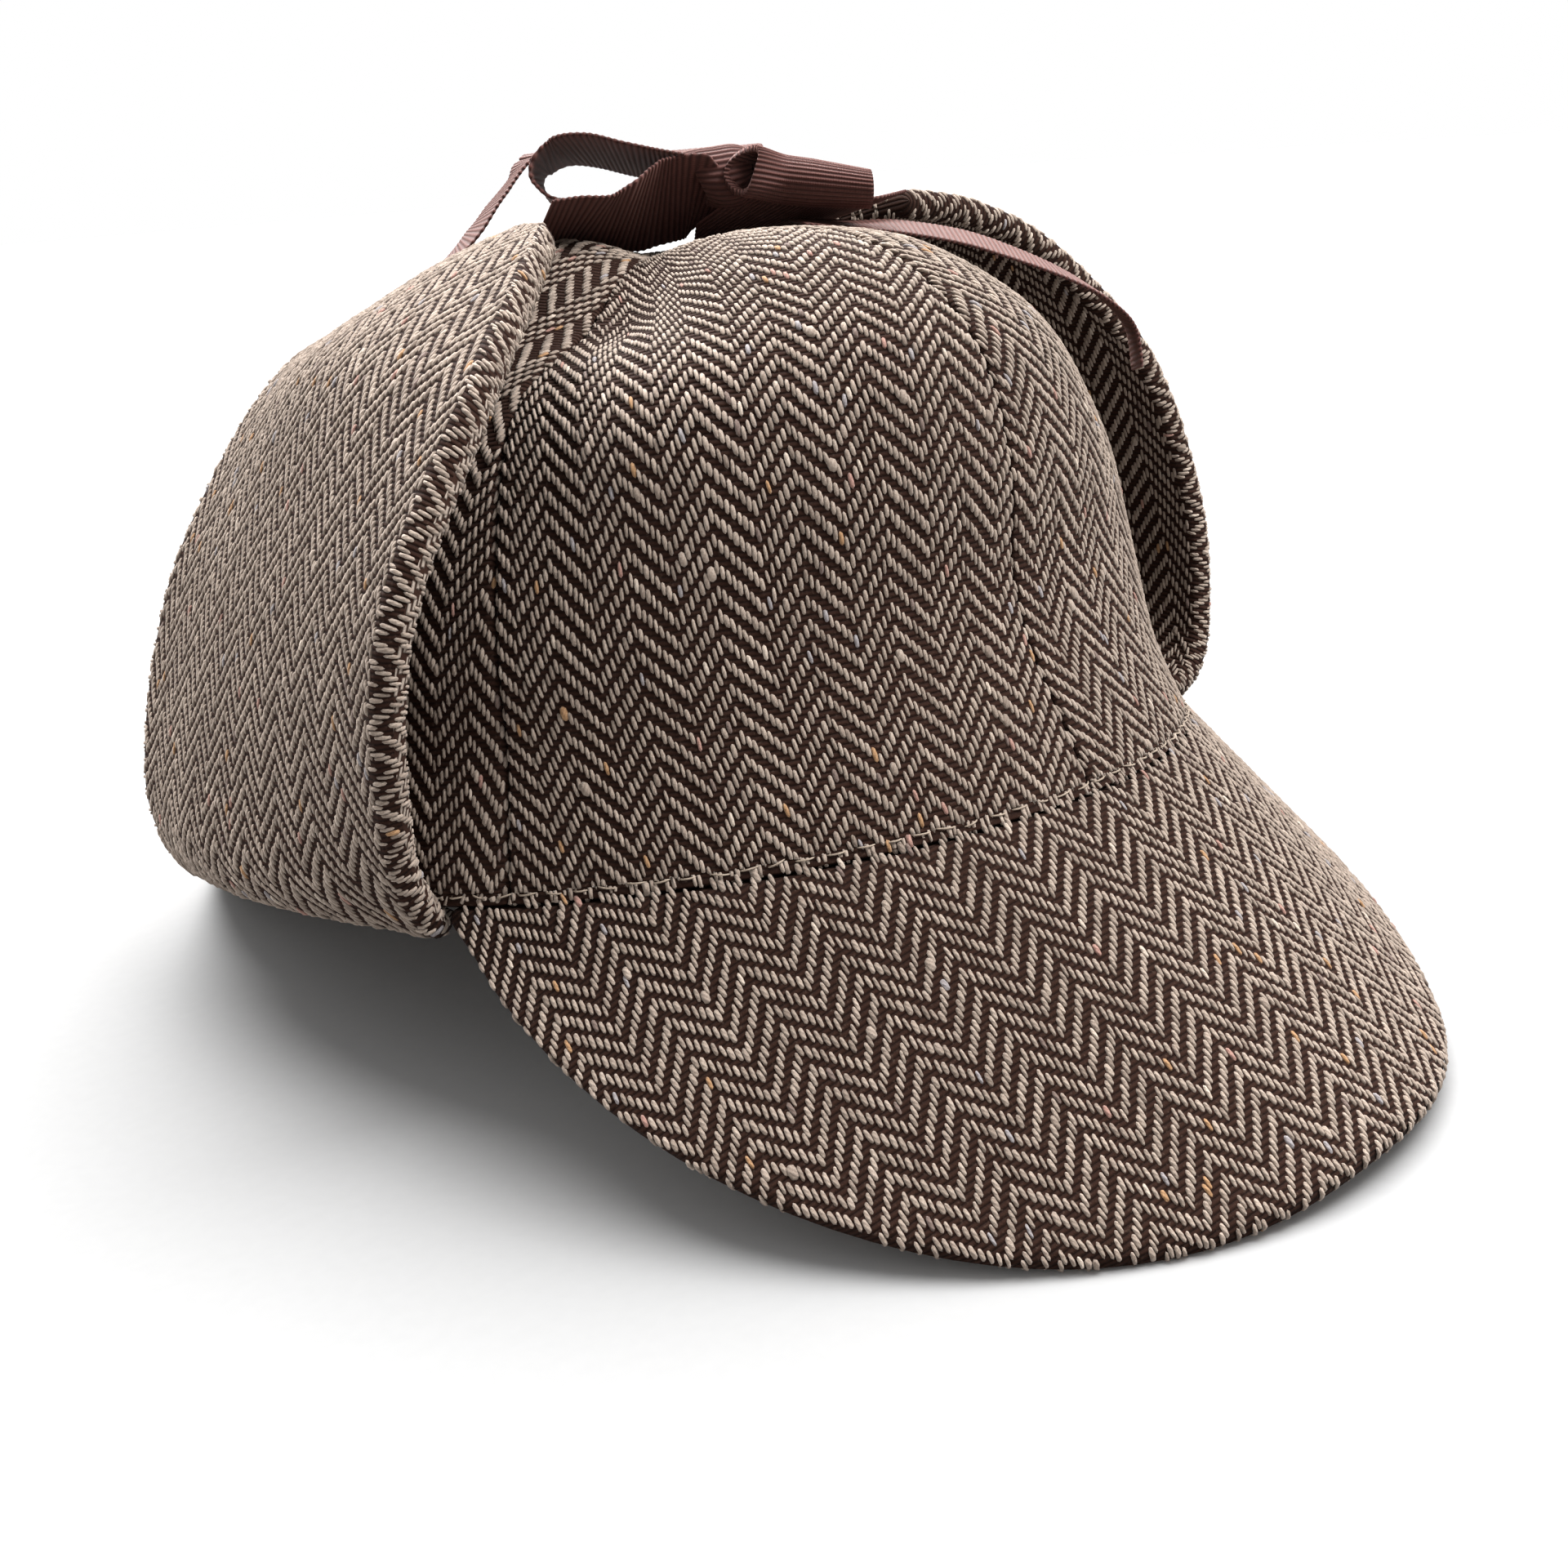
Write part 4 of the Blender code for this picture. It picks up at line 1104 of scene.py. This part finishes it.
STITCH = 4.2          # from one stitch to the next
STITCH_SEEN = 3.2     # how much of it lies outside the cloth
STITCH_BOW, STITCH_DIP = 0.75, 0.25
STITCH_RINGS, STITCH_SIDES = 7, 5
THREAD = 0.15
THREAD_DARK = (0.17, 0.125, 0.095, 1)
THREAD_PALE = (0.42, 0.34, 0.26, 1)


def hem_stitches():
    """Thin bowed tubes along the crown's edge: the middle of each stands off the cloth and
    its ends dip into it."""
    angle = np.linspace(0, 2 * math.pi, 721)
    line = crown_surface(angle, np.full(len(angle), STITCH_UP / LEVEL_RISE))
    run = run_along(line)
    count = int(run[-1] / STITCH)
    rng = np.random.default_rng(41)
    a = np.linspace(-1, 1, STITCH_RINGS)
    middle = (np.arange(count) + 0.5) * run[-1] / count + rng.normal(0, 0.25, count)
    at = middle[:, None] + a * 0.5 * STITCH_SEEN * rng.normal(1, 0.1, (count, 1))
    turn = np.interp(at, run, angle)
    level = STITCH_UP / LEVEL_RISE + rng.normal(0, 0.012, (count, 1)) + rng.normal(0, 0.02, (count, 1)) * a
    centre = crown_surface(turn, level)
    ahead = unit(np.gradient(centre, axis=1))
    out = unit((centre - HEAD_MIDDLE) * (1, 1, 0))
    up = unit(np.cross(ahead, out))
    centre = centre + out * (STITCH_BOW * (1 - a ** 2) - STITCH_DIP)[None, :, None]
    ring = np.linspace(0, 2 * math.pi, STITCH_SIDES + 1)[:-1]
    thin = THREAD * np.sqrt(np.maximum(1 - a ** 6, 0.02))
    offset = np.cos(ring)[:, None] * out[:, :, None] + np.sin(ring)[:, None] * up[:, :, None]
    points = centre[:, :, None] + offset * thin[None, :, None, None]
    index = np.arange(STITCH_RINGS * STITCH_SIDES).reshape(STITCH_RINGS, STITCH_SIDES)
    nxt = np.roll(index, -1, 1)
    quads = np.stack([index[:-1], nxt[:-1], nxt[1:], index[1:]], -1).reshape(-1, 4)
    caps = [(0, 2, 1), (0, 3, 2), (0, 4, 3), (30, 31, 32), (30, 32, 33), (30, 33, 34)]
    offsets = index.size * np.arange(count)[:, None, None]
    thread = Finish("pale_cotton_thread", Roughness=0.7)
    fibre = thread.noise(3000.0)
    cotton = thread.cover(thread.mix(fibre, THREAD_DARK, THREAD_PALE), fibre * 0.08)
    piece = build("hem_stitches", points.reshape(-1, 3), (quads + offsets).reshape(-1, 4), [cotton],
                  tris=(np.array(caps) + offsets).reshape(-1, 3))
    return piece


hem_stitches()


# The picture: a pale floor that isn't part of the hat, a white backdrop, three softboxes,
# behind left, in front right and behind right, and the camera where the photograph was
# taken from. A sun lights only the floor.

CAMERA_AT = (-217.0, -289.7, 67.9)          # in the hat frame, mm
CAMERA_RIGHT = (0.7328, -0.6599, -0.1662)
CAMERA_UP = (0.2596, 0.0453, 0.9647)
FOCAL_PIXELS = 2356.7
PHOTO_PIXELS = 1920
SENSOR = 36.0



def posed(thing, right, up, at):
    """Puts a camera or a light into the scene. It looks along the opposite of right x up."""
    bpy.context.scene.collection.objects.link(thing)
    pose = np.eye(4)
    pose[:3] = np.stack([right, up, np.cross(right, up), at], -1)
    thing.matrix_world = Matrix(pose.tolist())
    return thing


camera = posed(bpy.data.objects.new("camera", bpy.data.cameras.new("camera")), leaned(CAMERA_RIGHT),
               leaned(CAMERA_UP), (leaned(CAMERA_AT) + SHIFT) * 0.001)
bpy.context.scene.camera = camera
camera.data.sensor_width = SENSOR
camera.data.lens = SENSOR * FOCAL_PIXELS / PHOTO_PIXELS
camera.data.clip_start = 0.01
camera.data.clip_end = 50.0

FLOOR_HALF = 8.0
HAT_MIDDLE = 0.07     # the height the lights look at
PAPER_DIM = (0.86, 0.86, 0.86, 1)
PAPER_PALE = (0.9, 0.9, 0.9, 1)
floor = build("floor", np.zeros((4, 3)), np.array([[0, 1, 2, 3]]), [])
corners = np.array([[-1, -1, 0], [1, -1, 0], [1, 1, 0], [-1, 1, 0]]) * FLOOR_HALF
floor.data.vertices.foreach_set("co", corners.ravel())
floor.data.update()
paper = Finish("pale_paper_floor", Roughness=0.95, Specular_IOR_Level=0.1)
grain = paper.noise(400.0)
paper.feed(paper.shader.inputs["Base Color"], paper.mix(grain, PAPER_DIM, PAPER_PALE))
floor.data.materials.append(paper.material)

# the world is a white paper backdrop behind the hat, and dimmer round and above it
BACKDROP_TURN = math.radians(139)
BACKDROP_TOP = (0.16, 0.36)       # it fades out between these heights in the sky
BACKDROP_SIDE = (0.45, 0.8)       # and between these cosines of the turn away from its middle
WORLD_FILL = 0.35
world = bpy.data.worlds.new("studio")
bpy.context.scene.world = world
world.use_nodes = True
sky = Nodes(world.node_tree)
way = sky.node("TexCoord", {}, {})
toward = (math.sin(BACKDROP_TURN), -math.cos(BACKDROP_TURN), 0)
height = sky.node("SeparateXYZ", {}, {0: way}, 2)
facing = sky.node("VectorMath", {"operation": "DOT_PRODUCT"}, {0: way, 1: toward}, 1)
low, ahead = (sky.node("MapRange", {}, {0: value, 1: ramp[0], 2: ramp[1], 3: start, 4: 1 - start})
              for value, ramp, start in ((height, BACKDROP_TOP, 1.0), (facing, BACKDROP_SIDE, 0.0)))
background = sky.tree.nodes["Background"].inputs
sky.feed(background["Strength"], low * ahead * (1 - WORLD_FILL) + WORLD_FILL)
background["Color"].default_value = (1, 1, 1, 1)


def aimed(name, kind, azimuth, elevation, away):
    """A light that looks at the hat from an azimuth (0 is in front) and an elevation."""
    a, e = math.radians(azimuth), math.radians(elevation)
    back = np.array((math.sin(a) * math.cos(e), -math.cos(a) * math.cos(e), math.sin(e)))
    side = unit(np.cross((0, 0, 1), back))
    light = bpy.data.objects.new(name, bpy.data.lights.new(name, kind))
    return posed(light, side, np.cross(back, side), back * away + (0, 0, HAT_MIDDLE))


SOFTBOXES = (  # name, azimuth, elevation, distance, size, power
    ("softbox_left", -150, 50, 1.25, 0.85, 26.0),
    ("softbox_right", 35, 50, 1.25, 0.6, 34.0),
    ("softbox_back", 150, 50, 1.25, 0.85, 48.0),
)
but_paper = bpy.data.collections.new("all_but_paper")
but_paper.objects.link(floor)
but_paper.collection_objects[0].light_linking.link_state = "EXCLUDE"
for name, azimuth, elevation, away, size, power in SOFTBOXES:
    light = aimed(name, "AREA", azimuth, elevation, away)
    light.data.size = size
    light.data.energy = power
    light.light_linking.receiver_collection = but_paper

# one more light only for the paper, which it makes white round the hat's soft shadow
SUN_AZIMUTH, SUN_ELEVATION = 125, 70
SUN_STRENGTH = 3.4
SUN_ACROSS = math.radians(76)
paper_light = aimed("paper_light", "SUN", SUN_AZIMUTH, SUN_ELEVATION, 2.0)
paper_light.data.energy = SUN_STRENGTH
paper_light.data.angle = SUN_ACROSS
lit_paper = bpy.data.collections.new("lit_paper")
lit_paper.objects.link(floor)
paper_light.light_linking.receiver_collection = lit_paper

bpy.context.scene.view_settings.view_transform = "Standard"
